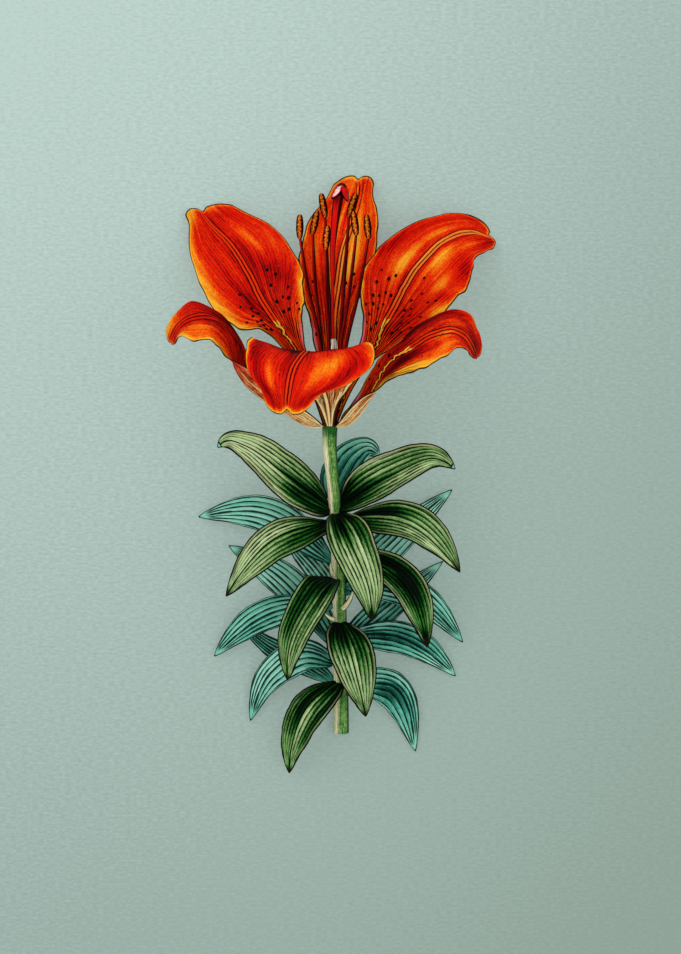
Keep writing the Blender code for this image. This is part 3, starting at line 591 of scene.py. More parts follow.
# Soft strokes over the undersides that are partly in shade, as for the tepals.
UNDER_STROKES = {
    "leaf_top_behind": [(0.0, 0.45, 1.5, 0.5, -0.55)],
    "leaf_behind_right": [(0.0, 0.45, 0.5, 0.3, -0.9), (0.5, 0.7, 0.5, 0.2, -0.3)],
    "leaf_behind_lowest_right": [(-0.2, 0.4, 0.6, 0.25, -1.1), (0.2, 0.75, 0.4, 0.15, -0.4)],
    "leaf_behind_lower_right": [(0.0, 0.4, 1.2, 0.4, -0.3)],
    "leaf_behind_lower_left": [(0.3, 0.3, 0.5, 0.25, -0.6)],
    "leaf_behind_middle_right": [(0.0, 0.4, 1.2, 0.35, -0.2)],
    "leaf_behind_middle_left": [(0.0, 0.6, 1.2, 0.4, -0.2)],
    "leaf_behind_lowest_left": [(0.0, 0.5, 1.2, 0.5, -0.5)],
}


def unit(vector):
    vector = np.asarray(vector, float)
    return vector / np.linalg.norm(vector)


def units(vectors):
    """Each vector of a list at length one."""
    return vectors / np.linalg.norm(vectors, axis=1)[:, None]


def to_frame(points):
    """Points in the lily's millimetres as Blender's metres, with the lily's middle over the origin."""
    return (np.asarray(points, float) - (MIDDLE_X, MIDDLE_Y, LOWEST)) * MM


def shares_of(points):
    """How far along its chords each point stands, as shares of their whole length."""
    steps = np.linalg.norm(np.diff(np.asarray(points, float), axis=0), axis=1)
    return np.concatenate([[0.0], np.cumsum(steps)]) / steps.sum()


def follow(points, shares, places):
    """Points on one smooth curve through the given points, which it passes at the given shares."""
    points = np.asarray(points, float)
    steps = np.diff(shares)
    slopes = np.diff(points, axis=0) / steps[:, None]
    tangents = np.empty_like(points)
    inner = slopes[:-1] * steps[1:, None] + slopes[1:] * steps[:-1, None]
    tangents[1:-1] = inner / (steps[:-1] + steps[1:])[:, None]
    tangents[0] = 1.5 * slopes[0] - 0.5 * tangents[1] if len(points) > 2 else slopes[0]
    tangents[-1] = 1.5 * slopes[-1] - 0.5 * tangents[-2] if len(points) > 2 else slopes[0]
    places = np.asarray(places, float)
    k = np.clip(np.searchsorted(shares, places, side="right") - 1, 0, len(steps) - 1)
    step = steps[k][:, None]
    s = (places - shares[k])[:, None] / step
    start = points[k] * (2 * s**3 - 3 * s**2 + 1) + tangents[k] * step * (s**3 - 2 * s**2 + s)
    end = points[k + 1] * (3 * s**2 - 2 * s**3) + tangents[k + 1] * step * (s**3 - s**2)
    return start + end


def eased(places):
    """Rows that crowd towards the tip, where a blade turns in."""
    return np.minimum(places + TIP_CROWD * np.sin(math.pi * places), 1.0)


def pressed(heights, thickness):
    """The table turns up what would sink into it."""
    over = heights - thickness / 2
    return thickness / 2 + (over + np.sqrt(over * over + PRESS * PRESS / 4)) / 2


def stem_radius(places):
    """The stem tapers towards its neck, then flares to the seat of the flower."""
    taper = np.minimum(places / FLARE_START, 1.0)
    flare = np.clip((places - FLARE_START) / (1 - FLARE_START), 0.0, 1.0) ** 4
    return CUT_RADIUS + (NECK_RADIUS - CUT_RADIUS) * taper + (SEAT_RADIUS - NECK_RADIUS) * flare


def stem_at(y):
    """The point of the stem's middle line at that Y, its direction, and its radius there."""
    places = np.linspace(0.0, 1.0, STEM_SAMPLES)
    line = follow(STEM_LINE, shares_of(STEM_LINE), places)
    k = int(np.abs(line[:, 1] - y).argmin())
    return line[k], unit(line[k + 1] - line[k - 1]), stem_radius(places)[k]


def clear_of_stem(points, thickness, way):
    """A leaf's base wraps round the stem. It grows out of it where the solid keeps a gap."""
    places = np.linspace(0.0, 1.0, STEM_SAMPLES)
    line = follow(STEM_LINE, shares_of(STEM_LINE), places)
    axis = np.array([np.interp(points[:, 1], line[:, 1], column) for column in line.T]).T
    slopes = np.gradient(line, axis=0).T
    along = units(np.array([np.interp(points[:, 1], line[:, 1], slope) for slope in slopes]).T)
    out = points - axis
    out = out - (out * along).sum(axis=1)[:, None] * along
    reach = np.linalg.norm(out, axis=1)
    nearest = np.interp(points[:, 1], line[:, 1], stem_radius(places)) + thickness / 2
    nearest = nearest + np.interp(way, (0.0, ROOTED), (-SUNK, SEAT))
    over = reach - nearest
    kept = nearest + (over + np.sqrt(over * over + CLASP * CLASP)) / 2
    past = (points[:, 1] < line[0, 1] - 1) | (points[:, 1] > line[-1, 1] + 1)
    return np.where(past[:, None], points, points + out * ((kept - reach) / reach)[:, None])


def outward(axis, side):
    """The direction out of an axis at that side, in degrees, where 0 is right and 90 is up."""
    axis = unit(axis)
    right = unit(np.cross(axis, (0.0, 0.0, 1.0)))
    up = np.cross(right, axis)
    angle = math.radians(side)
    return right * math.cos(angle) + up * math.sin(angle)


def leaf_surface(name):
    """The surface of one leaf: a lance-shaped blade on an arching midrib, bent a little along it."""
    y, side, left_half, right_half, face, line = LEAVES[name]
    foot, axis, radius = stem_at(y)
    root = foot + outward(axis, side) * (radius - SUNK)
    points = [root, *line]
    shares = shares_of(points)

    def surface(across, along):
        middle = follow(points, shares, along)
        ahead = follow(points, shares, np.minimum(along + NEARBY, 1.0))
        behind = follow(points, shares, np.maximum(along - NEARBY, 0.0))
        direction = units(ahead - behind)
        turn = np.minimum(along / LEAF_TURNED, 1.0)[:, None]
        look = unit(face) * turn + unit(unit(face) + axis * LEAF_CLASP) * (1 - turn)
        normal = units(look - (look * direction).sum(axis=1)[:, None] * direction)
        right = np.cross(direction, normal)
        half, skew = np.where((across < 0)[:, None], left_half, right_half).T
        spread = np.sin(math.pi * (LEAF_ROOT + (1 - LEAF_ROOT) * along) ** skew) ** LEAF_SWELL
        width = np.maximum(half * spread, LEAF_TIP)
        angle = math.radians(LEAF_BEND)
        sideways = width * np.sin(angle * across) / angle
        upwards = width * (1 - np.cos(angle * across)) / angle
        points_here = middle + right * sideways[:, None] + normal * upwards[:, None]
        return clear_of_stem(points_here, LEAF_THICKNESS, along)

    return surface


def tepal_surface(name):
    """The surface of one tepal, cupped between its midrib and its two edges."""
    tepal = TEPALS[name]
    axis = unit(FLOWER_AXIS)
    out = outward(axis, tepal["side"])
    root = np.array(STEM_LINE[-1]) - axis * SUNK + out * tepal["root"] * ROOT_SHARE
    edge = np.cross(axis, -out) * CLAW_HALF_WIDTH
    middle = [root, *tepal["middle"]]
    left = [root - edge, *tepal["left"]]
    right = [root + edge, *tepal["right"]]
    shares = shares_of(middle)

    def surface(across, along):
        corners = tepal["round"] * across**4
        notch = tepal["notch"] * np.exp(-((across / NOTCH_WIDTH) ** 2))
        along = along * (1 - corners - notch)
        m, a, b = (follow(points, shares, along) for points in (middle, left, right))
        cup = (np.abs(across) ** CUP)[:, None]
        return m + (b - a) / 2 * across[:, None] + ((a + b) / 2 - m) * cup

    return surface


def grid_piece(name, columns, rows):
    """A flat grid with its places across and along as rows, and the number of the vertex at each."""
    bpy.ops.object.select_all(action="DESELECT")
    bpy.ops.mesh.primitive_grid_add(x_subdivisions=columns, y_subdivisions=rows, size=2.0)
    piece = bpy.context.object
    piece.name = name
    piece.data.name = name
    flat = np.empty(len(piece.data.vertices) * 3)
    piece.data.vertices.foreach_get("co", flat)
    flat = np.round(flat.reshape(-1, 3), 5)
    order = np.lexsort((flat[:, 0], flat[:, 1])).reshape(rows + 1, columns + 1)
    return piece, flat[order, 0], (flat[order, 1] + 1) / 2, order


def place(piece, order, points):
    """Moves the grid's vertices to these points, given in the lily's millimetres."""
    kept = np.empty((order.size, 3))
    kept[order.ravel()] = to_frame(points.reshape(-1, 3))
    piece.data.vertices.foreach_set("co", kept.ravel())
    piece.data.update()


def note(piece, order, **numbers):
    """Keeps a number at each vertex under each name, for the material to read."""
    kept = np.empty(order.size)
    for name, values in numbers.items():
        kept[order.ravel()] = np.broadcast_to(values, order.shape).ravel()
        layer = piece.data.attributes.new(name, "FLOAT", "POINT")
        layer.data.foreach_set("value", kept)


def keep_uv(piece, order, across, along):
    """Lays the UV map out by the places across and along, each from 0 to 1."""
    places = np.empty((order.size, 2))
    places[order.ravel()] = np.stack([across.ravel(), along.ravel()], axis=1)
    corners = np.empty(len(piece.data.loops), np.int32)
    piece.data.loops.foreach_get("vertex_index", corners)
    piece.data.uv_layers.active.data.foreach_set("uv", places[corners].ravel())


def facing(points):
    """The unit normals of a lattice of points, on the side where across turns into along."""
    normals = np.cross(np.gradient(points, axis=1), np.gradient(points, axis=0))
    return normals / np.maximum(np.linalg.norm(normals, axis=2, keepdims=True), 1e-9)


def strokes(painted, across, along):
    """The sum of soft strokes at these places."""
    tone = np.zeros_like(across)
    for side, way, wide, long, amount in painted:
        tone += amount * np.exp(-(((across - side) / wide) ** 2) - ((along - way) / long) ** 2)
    return tone


def measures(points, across):
    """Millimetres from the midrib to each point, to the nearer edge, and half the blade's width."""
    steps = np.linalg.norm(np.diff(points, axis=1), axis=2)
    run = np.concatenate([np.zeros((len(points), 1)), np.cumsum(steps, axis=1)], axis=1)
    middle = np.array([np.interp(0.0, across[k], run[k]) for k in range(len(run))])[:, None]
    side = run - middle
    half = run[:, -1:] / 2
    return side, np.minimum(run, run[:, -1:] - run), half


def seen(points):
    """Where the camera sees these points, in pixels of the photograph."""
    nearer = (CAMERA_HEIGHT - MIDDLE_HEIGHT) / (CAMERA_HEIGHT - points[..., 2])
    over = PHOTO_MIDDLE[0] + (points[..., 0] - PHOTO_AIM[0]) * nearer / PHOTO_PIXEL
    down = PHOTO_MIDDLE[1] - (points[..., 1] - PHOTO_AIM[1]) * nearer / PHOTO_PIXEL
    return np.stack([over, down], axis=-1)


def thin_edges(piece, order, margin, edge, thickness):
    """Gives a blade its wall, thinner along the edges. Its back takes the second material."""
    share = np.clip(margin / edge, 0.0, 1.0)
    share = np.round(EDGE_SHARE + (1 - EDGE_SHARE) * np.sqrt(share * (2 - share)), 2)
    group = piece.vertex_groups.new(name="wall")
    for level in np.unique(share):
        group.add([int(k) for k in order[share == level]], float(level), "REPLACE")
    bpy.ops.object.modifier_add(type="SOLIDIFY")
    wall = piece.modifiers[-1]
    wall.thickness = thickness * MM
    wall.offset = 0.0
    wall.vertex_group = "wall"
    wall.material_offset = 1
    bpy.ops.object.modifier_apply(modifier=wall.name)
    piece.vertex_groups.clear()


def smooth(piece):
    bpy.ops.object.select_all(action="DESELECT")
    piece.select_set(True)
    bpy.context.view_layer.objects.active = piece
    bpy.ops.object.shade_smooth()


def close_up():
    """Joins the rolled grid along its seam and at its ends, with its faces turned outwards."""
    bpy.ops.object.mode_set(mode="EDIT")
    bpy.ops.mesh.select_all(action="SELECT")
    bpy.ops.mesh.remove_doubles(threshold=1e-6)
    bpy.ops.mesh.normals_make_consistent(inside=False)
    bpy.ops.object.mode_set(mode="OBJECT")


def frames(line):
    """The right and up directions at each point of a line, as outward() takes them."""
    ahead = units(np.gradient(line, axis=0))
    right = units(np.cross(ahead, (0.0, 0.0, 1.0)))
    return right, np.cross(right, ahead)


def rolled(name, grid, shape):
    """A closed round piece. shape(turn, along) gives its points for turns in radians, 0 right and a
    quarter up, and its first and last rows must each meet in one point."""
    piece, across, along, order = grid_piece(name, *grid)
    turn = (across + 1) * math.pi
    points = shape(turn, along)
    place(piece, order, points)
    keep_uv(piece, order, (across + 1) / 2, along)
    close_up()
    smooth(piece)
    return piece


def ringed(middle, right, up, reach, turn):
    """Points that reach so far out of a middle at each turn."""
    return middle + right * (reach * np.cos(turn))[..., None] + up * (reach * np.sin(turn))[..., None]


def round_ends(along, blunt):
    """The share of a rod's width at each place along it, from 0 at an end to 1 past its rounded tip."""
    near = np.clip(np.minimum(along, 1 - along) / blunt, 0.0, 1.0)
    return np.sqrt(near * (2 - near))


def finish_piece(piece, node, slot, *finishes):
    """Gives a piece its materials and its place in the frame, and hides the solid of the node that it
    stands for.
    """
    for each in finishes:
        piece.data.materials.append(each)
    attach(piece, "root")
    if node:
        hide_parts(node)


def finish_blade(piece, order, margin, node, slot, finishes, edge, thickness):
    """Finishes a flat piece as well and gives it its wall."""
    finish_piece(piece, node, slot, *finishes)
    thin_edges(piece, order, margin, edge, thickness)
    smooth(piece)


def ink(red, green, blue):
    """A colour of the print, from 0 to 255, as Blender's linear colour."""
    shares = (value / 255 for value in (red, green, blue))
    return tuple(s / 12.92 if s <= 0.04045 else ((s + 0.055) / 1.055) ** 2.4 for s in shares)


class Nodes:
    """The node tree of a material or a group, with short calls for what goes on it."""

    def __init__(self, tree):
        self.tree = tree

    def node(self, kind, **settings):
        made = self.tree.nodes.new("ShaderNode" + kind)
        for name, value in settings.items():
            setattr(made, name, value)
        return made

    def feed(self, socket, value):
        if isinstance(value, bpy.types.NodeSocket):
            self.tree.links.new(value, socket)
        elif socket.type == "RGBA":
            socket.default_value = (*tuple(value)[:3], 1.0)
        else:
            socket.default_value = value

    def math(self, operation, *values, clamp=False):
        made = self.node("Math", operation=operation, use_clamp=clamp)
        for socket, value in zip(made.inputs, values):
            self.feed(socket, value)
        return made.outputs[0]

    def times(self, *values):
        """The product of them all."""
        product = values[0]
        for value in values[1:]:
            product = self.math("MULTIPLY", product, value)
        return product

    def plus(self, first, second, share=1.0):
        """The first, with a share of the second added."""
        return self.math("MULTIPLY_ADD", second, share, first)

    def off_half(self, value):
        return self.math("SUBTRACT", value, 0.5)

    def stirred(self, tone, *noises):
        """The tone with its share of each noise about a half added."""
        for noise, share in noises:
            tone = self.plus(tone, self.off_half(noise), share)
        return tone

    def size_of(self, value):
        return self.math("ABSOLUTE", value)

    def away(self, value, middle):
        """How far the value is from that middle."""
        return self.size_of(self.math("SUBTRACT", value, middle))

    def over(self, base, colour, *masks):
        """The base with the colour laid over it, as far as the product of the masks says."""
        return self.mix(self.times(*masks), base, colour)

    def span(self, value, low, high, start=0.0, end=1.0):
        """Goes softly from start to end as the value goes from low to high."""
        made = self.node("MapRange", interpolation_type="SMOOTHSTEP")
        for socket, number in zip(made.inputs, (value, low, high, start, end)):
            self.feed(socket, number)
        return made.outputs[0]

    def mix(self, share, first, second):
        made = self.node("Mix", data_type="RGBA")
        self.feed(made.inputs["Factor"], share)
        self.feed(made.inputs[6], first)
        self.feed(made.inputs[7], second)
        return made.outputs[2]

    def ramp(self, value, settings, **stops):
        """Runs through those colours of the settings, each from its place between 0 and 1."""
        made = self.node("ValToRGB")
        self.feed(made.inputs[0], value)
        band = made.color_ramp
        while len(band.elements) < len(stops):
            band.elements.new(0.5)
        for element, (colour, where) in zip(band.elements, stops.items()):
            element.position = where
            element.color = (*getattr(settings, colour), 1.0)
        return made.outputs[0]

    def attribute(self, name):
        return self.node("Attribute", attribute_name=name).outputs["Fac"]

    def attributes(self, *names):
        return [self.attribute(name) for name in names]

    def vector(self, x, y, z=0.0):
        made = self.node("CombineXYZ")
        for socket, value in zip(made.inputs, (x, y, z)):
            self.feed(socket, value)
        return made.outputs[0]

    def noise(self, vector, scale, detail=2.0, roughness=0.5):
        made = self.node("TexNoise")
        self.feed(made.inputs["Vector"], vector)
        made.inputs["Scale"].default_value = scale
        made.inputs["Detail"].default_value = detail
        made.inputs["Roughness"].default_value = roughness
        return made.outputs[0]

    def place(self):
        """The point on the piece, in the lily's own frame."""
        return self.node("TexCoord").outputs["Object"]

    def across_along(self):
        """The two numbers of the piece's UV map."""
        parts = self.node("SeparateXYZ")
        self.feed(parts.inputs[0], self.node("UVMap").outputs[0])
        return parts.outputs[0], parts.outputs[1]

    def streaks(self, across, along, many, long):
        """Noise drawn out along the piece."""
        return self.noise(self.vector(self.times(across, many), self.times(along, long)), 1.0, 3.0)

    def fine_grain(self, scale):
        return self.noise(self.place(), scale, 2.0, 0.7)

    def drawn(self, across, along, pitch, many, long, **manner):
        """Drawn lines, that many to a step across, which change that fast along the piece."""
        return self.use(vein_lines(), across=self.times(across, many), along=self.times(along, long),
                        pitch=self.times(pitch, 1 / many), **manner)

    def use(self, group, **values):
        """Places a group with its own values and returns its outputs by name."""
        made = self.node("Group", node_tree=group)
        for name, value in values.items():
            self.feed(made.inputs[name.replace("_", " ").capitalize()], value)
        return {socket.name: socket for socket in made.outputs}

    def skin(self, colour, roughness, height, bump=0.3, gloss=0.03):
        """Wires the shader on the material's output."""
        shader = self.tree.nodes["Principled BSDF"]
        self.feed(shader.inputs["Base Color"], colour)
        self.feed(shader.inputs["Roughness"], roughness)
        shader.inputs["Specular IOR Level"].default_value = gloss
        rise = self.node("Bump")
        rise.inputs["Strength"].default_value = bump
        rise.inputs["Distance"].default_value = MM
        self.feed(rise.inputs["Height"], height)
        self.feed(shader.inputs["Normal"], rise.outputs[0])


def new_group(name, inputs, outputs):
    """An empty shader group with numbers as its sockets, and its two ends."""
    tree = bpy.data.node_groups.new(name, "ShaderNodeTree")
    for label, start in inputs.items():
        socket = tree.interface.new_socket(name=label, in_out="INPUT", socket_type="NodeSocketFloat")
        socket.default_value = start
    for label in outputs:
        tree.interface.new_socket(name=label, in_out="OUTPUT", socket_type="NodeSocketFloat")
    nodes = Nodes(tree)
    return nodes, nodes.tree.nodes.new("NodeGroupInput"), nodes.tree.nodes.new("NodeGroupOutput")


def vein_lines():
    """Drawn lines a step of 1 apart on a number that runs across them. A step is as many millimetres as
    the pitch, and a line reaches as far to each side as its width, swelling, wandering and breaking."""
    found = bpy.data.node_groups.get("Vein Lines")
    if found:
        return found
    start = {"Across": 0.0, "Along": 0.0, "Pitch": 1.0, "Width": 0.2, "Wander": 0.3, "Broken": 0.3}
    n, given, ends = new_group("Vein Lines", start, ("Mask", "Height"))
    across, along, pitch, width, wander, broken = given.outputs[:6]
    drift = n.off_half(n.noise(n.vector(n.times(across, 0.35), along), 3.0))
    moved = n.plus(across, n.times(drift, wander))
    saw = n.math("SUBTRACT", moved, n.math("FLOOR", moved))
    away = n.times(n.math("SUBTRACT", 0.5, n.size_of(n.off_half(saw))), pitch)
    number = n.math("FLOOR", n.math("ADD", moved, 0.5))
    swell = n.noise(n.vector(n.times(number, 0.73), n.times(along, 1.5), 5.0), 3.0)
    reach = n.times(width, n.span(swell, 0.3, 0.7, 0.5, 1.4))
    mask = n.span(away, n.times(reach, 1.3), n.times(reach, 0.6))
    gaps = n.noise(n.vector(number, along, 3.0), 5.0, 3.0)
    kept = n.span(gaps, n.math("SUBTRACT", broken, 0.2), n.math("ADD", broken, 0.08))
    room = n.span(pitch, n.times(width, 1.8), n.times(width, 3.2))
    n.feed(ends.inputs["Mask"], n.times(mask, kept, room))
    n.feed(ends.inputs["Height"], n.math("SUBTRACT", 1.0, n.times(mask, room)))
    return n.tree


def mottle():
    """Soft blotches over the piece itself, at two sizes, as a number about a half."""
    found = bpy.data.node_groups.get("Mottle")
    if found:
        return found
    n, given, ends = new_group("Mottle", {"Size": 200.0}, ("Value",))
    spot = n.place()
    broad = n.node("TexNoise")
    n.feed(broad.inputs["Vector"], spot)
    n.feed(broad.inputs["Scale"], given.outputs[0])
    fine = n.node("TexNoise")
    n.feed(fine.inputs["Vector"], spot)
    n.feed(fine.inputs["Scale"], n.times(given.outputs[0], 5.0))
    n.feed(ends.inputs["Value"], n.times(n.math("ADD", broad.outputs[0], fine.outputs[0]), 0.5))
    return n.tree


def new_finish(name):
    """A new material and its nodes."""
    made = bpy.data.materials.new(name)
    made.use_nodes = True
    return made, Nodes(made.node_tree)


def tepal_front(settings):
    """The inner face: red, gold in painted highlights and along its edges, with maroon veins, a double
    rib and raised spots.
    """
    made, n = new_finish("Tepal Face")
    along = n.across_along()[1]
    tone, rim, fan, pitch = n.attributes("tone", "margin", "fan", "pitch")
    streak = n.streaks(fan, along, 13.0, 2.5)
    grain = n.use(mottle(), size=500.0)["Value"]
    fine = n.fine_grain(2400.0)
    # The tone carries the strokes' painted highlights and painted shade, stirred by the tepal's own
    # streaks and grain.
    tone = n.stirred(tone, (streak, 1.1), (grain, 0.7), (fine, 1.1))
    tone = n.plus(tone, n.span(rim, 1.9, 0.6), 0.5)
    tone = n.plus(tone, n.span(along, 0.6, 0.35), 0.2)
    base = n.ramp(n.plus(0.5, tone, 0.5), settings,
                  maroon=0.04, deep=0.2, red=0.42, warm=0.62, orange=0.78, gold=0.98)
    # Fine hatching that deepens the painted shade where it is dark, and strong veins that fan out of the
    # claw.
    dark = n.span(tone, 0.6, -0.5)
    hatch = n.drawn(fan, along, pitch, 26.0, 5.0, width=0.15, wander=0.9,
                    broken=n.span(dark, 0.1, 0.9, 0.6, 0.3))
    side = n.attribute("rib")
    away = n.size_of(side)
    clear = n.span(away, 0.95, 1.3)
    base = n.over(base, settings.line, hatch["Mask"], clear, n.span(dark, 0.0, 1.0, 0.25, 0.85))
    claw = n.span(along, 0.68, 0.36)
    veins = n.drawn(fan, along, pitch, 10.0, 2.5, width=n.span(along, 0.3, 0.7, 0.25, 0.17), wander=0.6,
                    broken=n.span(along, 0.4, 0.75, 0.25, 0.5))
    strength = n.times(n.math("MAXIMUM", n.span(dark, 0.1, 1.0, 0.2, 0.9), claw), n.attribute("veined"))
    base = n.over(base, settings.line, veins["Mask"], clear, strength)
    # The double rib: two light ridges, a groove between them and a dark line along each side. On the
    # claw it turns yellow, crooked and narrow.
    yellow = n.attribute("yellow")
    crook = n.off_half(n.noise(n.vector(0.0, n.times(along, 42.0), n.attribute("golden")), 1.0, 1.0))
    side = n.plus(side, n.times(crook, n.span(yellow, -0.03, 0.02, 0.3, 0.9)))
    side = n.times(side, n.span(yellow, -0.01, 0.06, 1.0, 1.8))
    away = n.size_of(side)
    ends = n.plus(yellow, n.off_half(n.noise(n.vector(n.times(side, 1.6), 0.0), 1.0)), 0.12)
    claw_rib = n.span(ends, -0.004, 0.004)
    shown = n.math("MAXIMUM", n.attribute("ridge"), claw_rib)
    tip = n.span(along, 1.0, 0.95)
    ridge = n.times(n.span(away, 0.14, 0.32), n.span(away, 1.0, 0.84), tip, shown)
    golden = n.times(n.attribute("golden"), n.span(along, 0.4, 0.75))
    tint = n.mix(streak, settings.rib, settings.warm)
    tint = n.over(tint, settings.rib_gold, golden, n.span(streak, 0.3, 0.6, 0.5, 1.0))
    yellows = n.mix(n.span(fine, 0.4, 0.6), settings.gold, settings.rib_yellow)
    base = n.over(base, n.over(tint, yellows, claw_rib), ridge, 0.95)
    cut = n.span(claw_rib, 0.0, 1.0, 0.46, 0.5)
    groove = n.times(n.span(away, cut, n.math("SUBTRACT", cut, 0.1)), tip)
    sunk = n.math("MAXIMUM", n.math("MAXIMUM", golden, claw_rib), 0.75)
    base = n.over(base, n.mix(sunk, settings.deep, settings.line), groove, 0.95)
    beside = n.times(n.span(away, 0.86, 0.98), n.span(away, 1.65, 1.4), tip)
    base = n.over(base, settings.line, beside, n.span(along, 1.0, 0.6, 0.75, 1.0))
    flank = n.span(n.size_of(n.attribute("across")), 0.82, 0.94)
    base = n.over(base, settings.pink, n.attribute("pink"), flank)
    spot = n.span(n.attribute("spot"), -0.06, 0.04)
    base = n.over(base, settings.spot, spot)
    base = n.over(base, settings.line, n.span(rim, 0.62, 0.42), 0.97)
    height = n.plus(n.times(hatch["Height"], 0.35), veins["Height"], 0.5)
    height = n.plus(height, grain, 0.5)
    n.skin(base, n.plus(n.span(streak, 0.3, 0.7, 0.45, 0.62), spot, -0.12), height, bump=0.3)
    return made


def tepal_back(settings):
    """The outer face: cream and tan towards the claw with brown lines, orange towards the tip."""
    made, n = new_finish("Tepal Back")
    across, along = n.across_along()
    side, rim, fan, pitch = n.attributes("rib", "margin", "fan", "pitch")
    streak = n.streaks(across, along, 10.0, 7.0)
    blotch = n.use(mottle(), size=300.0)["Value"]
    # Painted shade: the claw's back darkens from cream through tan and pink to brown away from its foot,
    # and its hatching thickens with the shade.
    shade = n.stirred(n.span(along, 0.04, 0.36, 0.22, 0.56), (streak, 2.0), (blotch, 1.2))
    shade = n.plus(shade, n.span(rim, 2.5, 0.8), -0.3)
    tan = n.ramp(shade, settings, claw_cream=0.15, claw_tan=0.4, claw_pink=0.6, claw_brown=0.85)
    flush = n.ramp(streak, settings, red=0.25, warm=0.5, orange=0.75)
    base = n.mix(n.span(along, 0.38, 0.55), tan, flush)
    away = n.size_of(side)
    clear = n.span(away, 0.8, 1.3)
    lines = n.drawn(fan, along, pitch, 7.0, 6.0, width=0.19, wander=0.9, broken=0.38)
    base = n.over(base, settings.claw_line, lines["Mask"], clear, 0.85)
    hatch = n.drawn(fan, along, pitch, 22.0, 12.0, width=0.12, wander=0.9, broken=0.5)
    base = n.over(base, settings.claw_line, hatch["Mask"], clear, n.span(shade, 0.2, 0.9, 0.2, 0.8))
    crest = n.times(n.span(away, 0.68, 0.35), n.span(along, 0.75, 0.5))
    base = n.over(base, settings.claw_cream, crest, 0.92)
    beside = n.times(n.span(away, 0.6, 0.8), n.span(away, 1.6, 1.1))
    base = n.over(base, settings.claw_line, beside, 0.85)
    pale = n.times(n.span(rim, 1.15, 0.85), n.span(along, 0.6, 0.4))
    base = n.over(base, settings.claw_cream, pale, 0.85)
    base = n.over(base, settings.claw_line, n.span(rim, 0.66, 0.46), 0.97)
    height = n.plus(lines["Height"], hatch["Height"], 0.4)
    n.skin(base, n.span(streak, 0.3, 0.7, 0.5, 0.65), height, bump=0.35)
    return made


def leaf_noises(n, vein, along, wide, ragged):
    """What stirs a leaf's light: each band between two veins, ragged edges, streaks and grain."""
    leaf = n.attribute("leaf")
    band = n.times(n.math("FLOOR", vein), 3.7)
    return (
        n.noise(n.vector(band, n.times(along, 1.6), leaf), 1.0),
        n.noise(n.vector(n.times(vein, ragged), n.times(along, 3.0), leaf), 1.0, 3.0),
        n.streaks(vein, along, wide, 5.0),
        n.use(mottle(), size=450.0)["Value"],
        n.fine_grain(2200.0),
    )


def leaf_face(settings):
    """The upper face: green bands between dark parallel veins under painted light and shade, paler
    towards the tip and the edge.
    """
    made, n = new_finish("Leaf Face")
    along = n.across_along()[1]
    vein, rim, pitch = n.attributes("vein", "margin", "pitch")
    noises = leaf_noises(n, vein, along, 3.2, 5.0)
    ragged, streak, grain, fine = noises[1:]
    shares = (n.span(along, 0.2, 0.8, 2.4, 1.3), 0.9, 0.4, 0.6, 0.8)
    tone = n.stirred(n.attribute("tone"), *zip(noises, shares))
    # Painted shade: a band is darkest beside the vein on its inner side.
    out = n.size_of(vein)
    start = n.math("SUBTRACT", out, n.math("FLOOR", out))
    tone = n.plus(tone, n.span(start, 0.7, 0.0), -0.8)
    base = n.ramp(n.plus(0.57, tone, 0.5), settings,
                  shade=0.1, deep=0.26, green=0.4, mild=0.54, light=0.7, pale=0.97)
    # Hatching deepens the painted shade where the tone is dark.
    dark = n.span(tone, 0.7, -0.5)
    hatch = n.drawn(vein, along, pitch, 4.0, 9.0, width=0.11, wander=0.8, broken=0.5)
    base = n.over(base, settings.shade, hatch["Mask"], n.span(dark, 0.0, 1.0, 0.2, 0.85))
    lines = n.drawn(vein, along, pitch, 1.0, 2.0, width=n.span(along, 0.05, 0.95, 0.41, 0.24),
                    wander=0.12, broken=0.12)
    base = n.over(base, settings.line, lines["Mask"], 0.95)
    midrib = n.span(n.size_of(n.attribute("side")), 0.5, 0.28)
    base = n.over(base, settings.line, midrib, n.attribute("keel"))
    border = n.times(n.attribute("border"), n.span(along, 0.03, 0.15), n.span(along, 0.97, 0.85))
    patchy = n.noise(n.vector(along, n.attribute("leaf"), vein), 7.0)
    border = n.times(border, n.span(patchy, 0.35, 0.5, 0.3, 1.0))
    inner = n.times(n.span(rim, 1.4, 1.1), n.span(along, 0.97, 0.8), n.span(border, 0.1, 0.5))
    base = n.over(base, settings.line, inner, 0.8)
    edge = n.ramp(n.plus(0.5, n.plus(n.off_half(streak), n.off_half(fine)), 1.2), settings,
                  mild=0.2, edge=0.5, pale=0.8)
    base = n.over(base, edge, n.span(rim, 1.05, 0.8), border)
    base = n.over(base, settings.line, n.span(rim, 0.55, 0.35))
    curl = n.attribute("curl")
    base = n.over(base, settings.tip, n.span(along, 0.9, 0.985), n.math("SUBTRACT", 0.9, curl))
    bent = n.plus(along, n.off_half(ragged), 0.02)
    base = n.over(base, settings.line, curl, n.span(bent, 0.945, 0.955))
    base = n.over(base, settings.curl, curl, n.span(bent, 0.962, 0.968), n.span(rim, 0.25, 0.4))
    height = n.plus(n.times(hatch["Height"], 0.4), lines["Height"], 0.6)
    n.skin(base, n.span(streak, 0.3, 0.7, 0.45, 0.6), n.plus(height, grain, 0.5), bump=0.3)
    return made


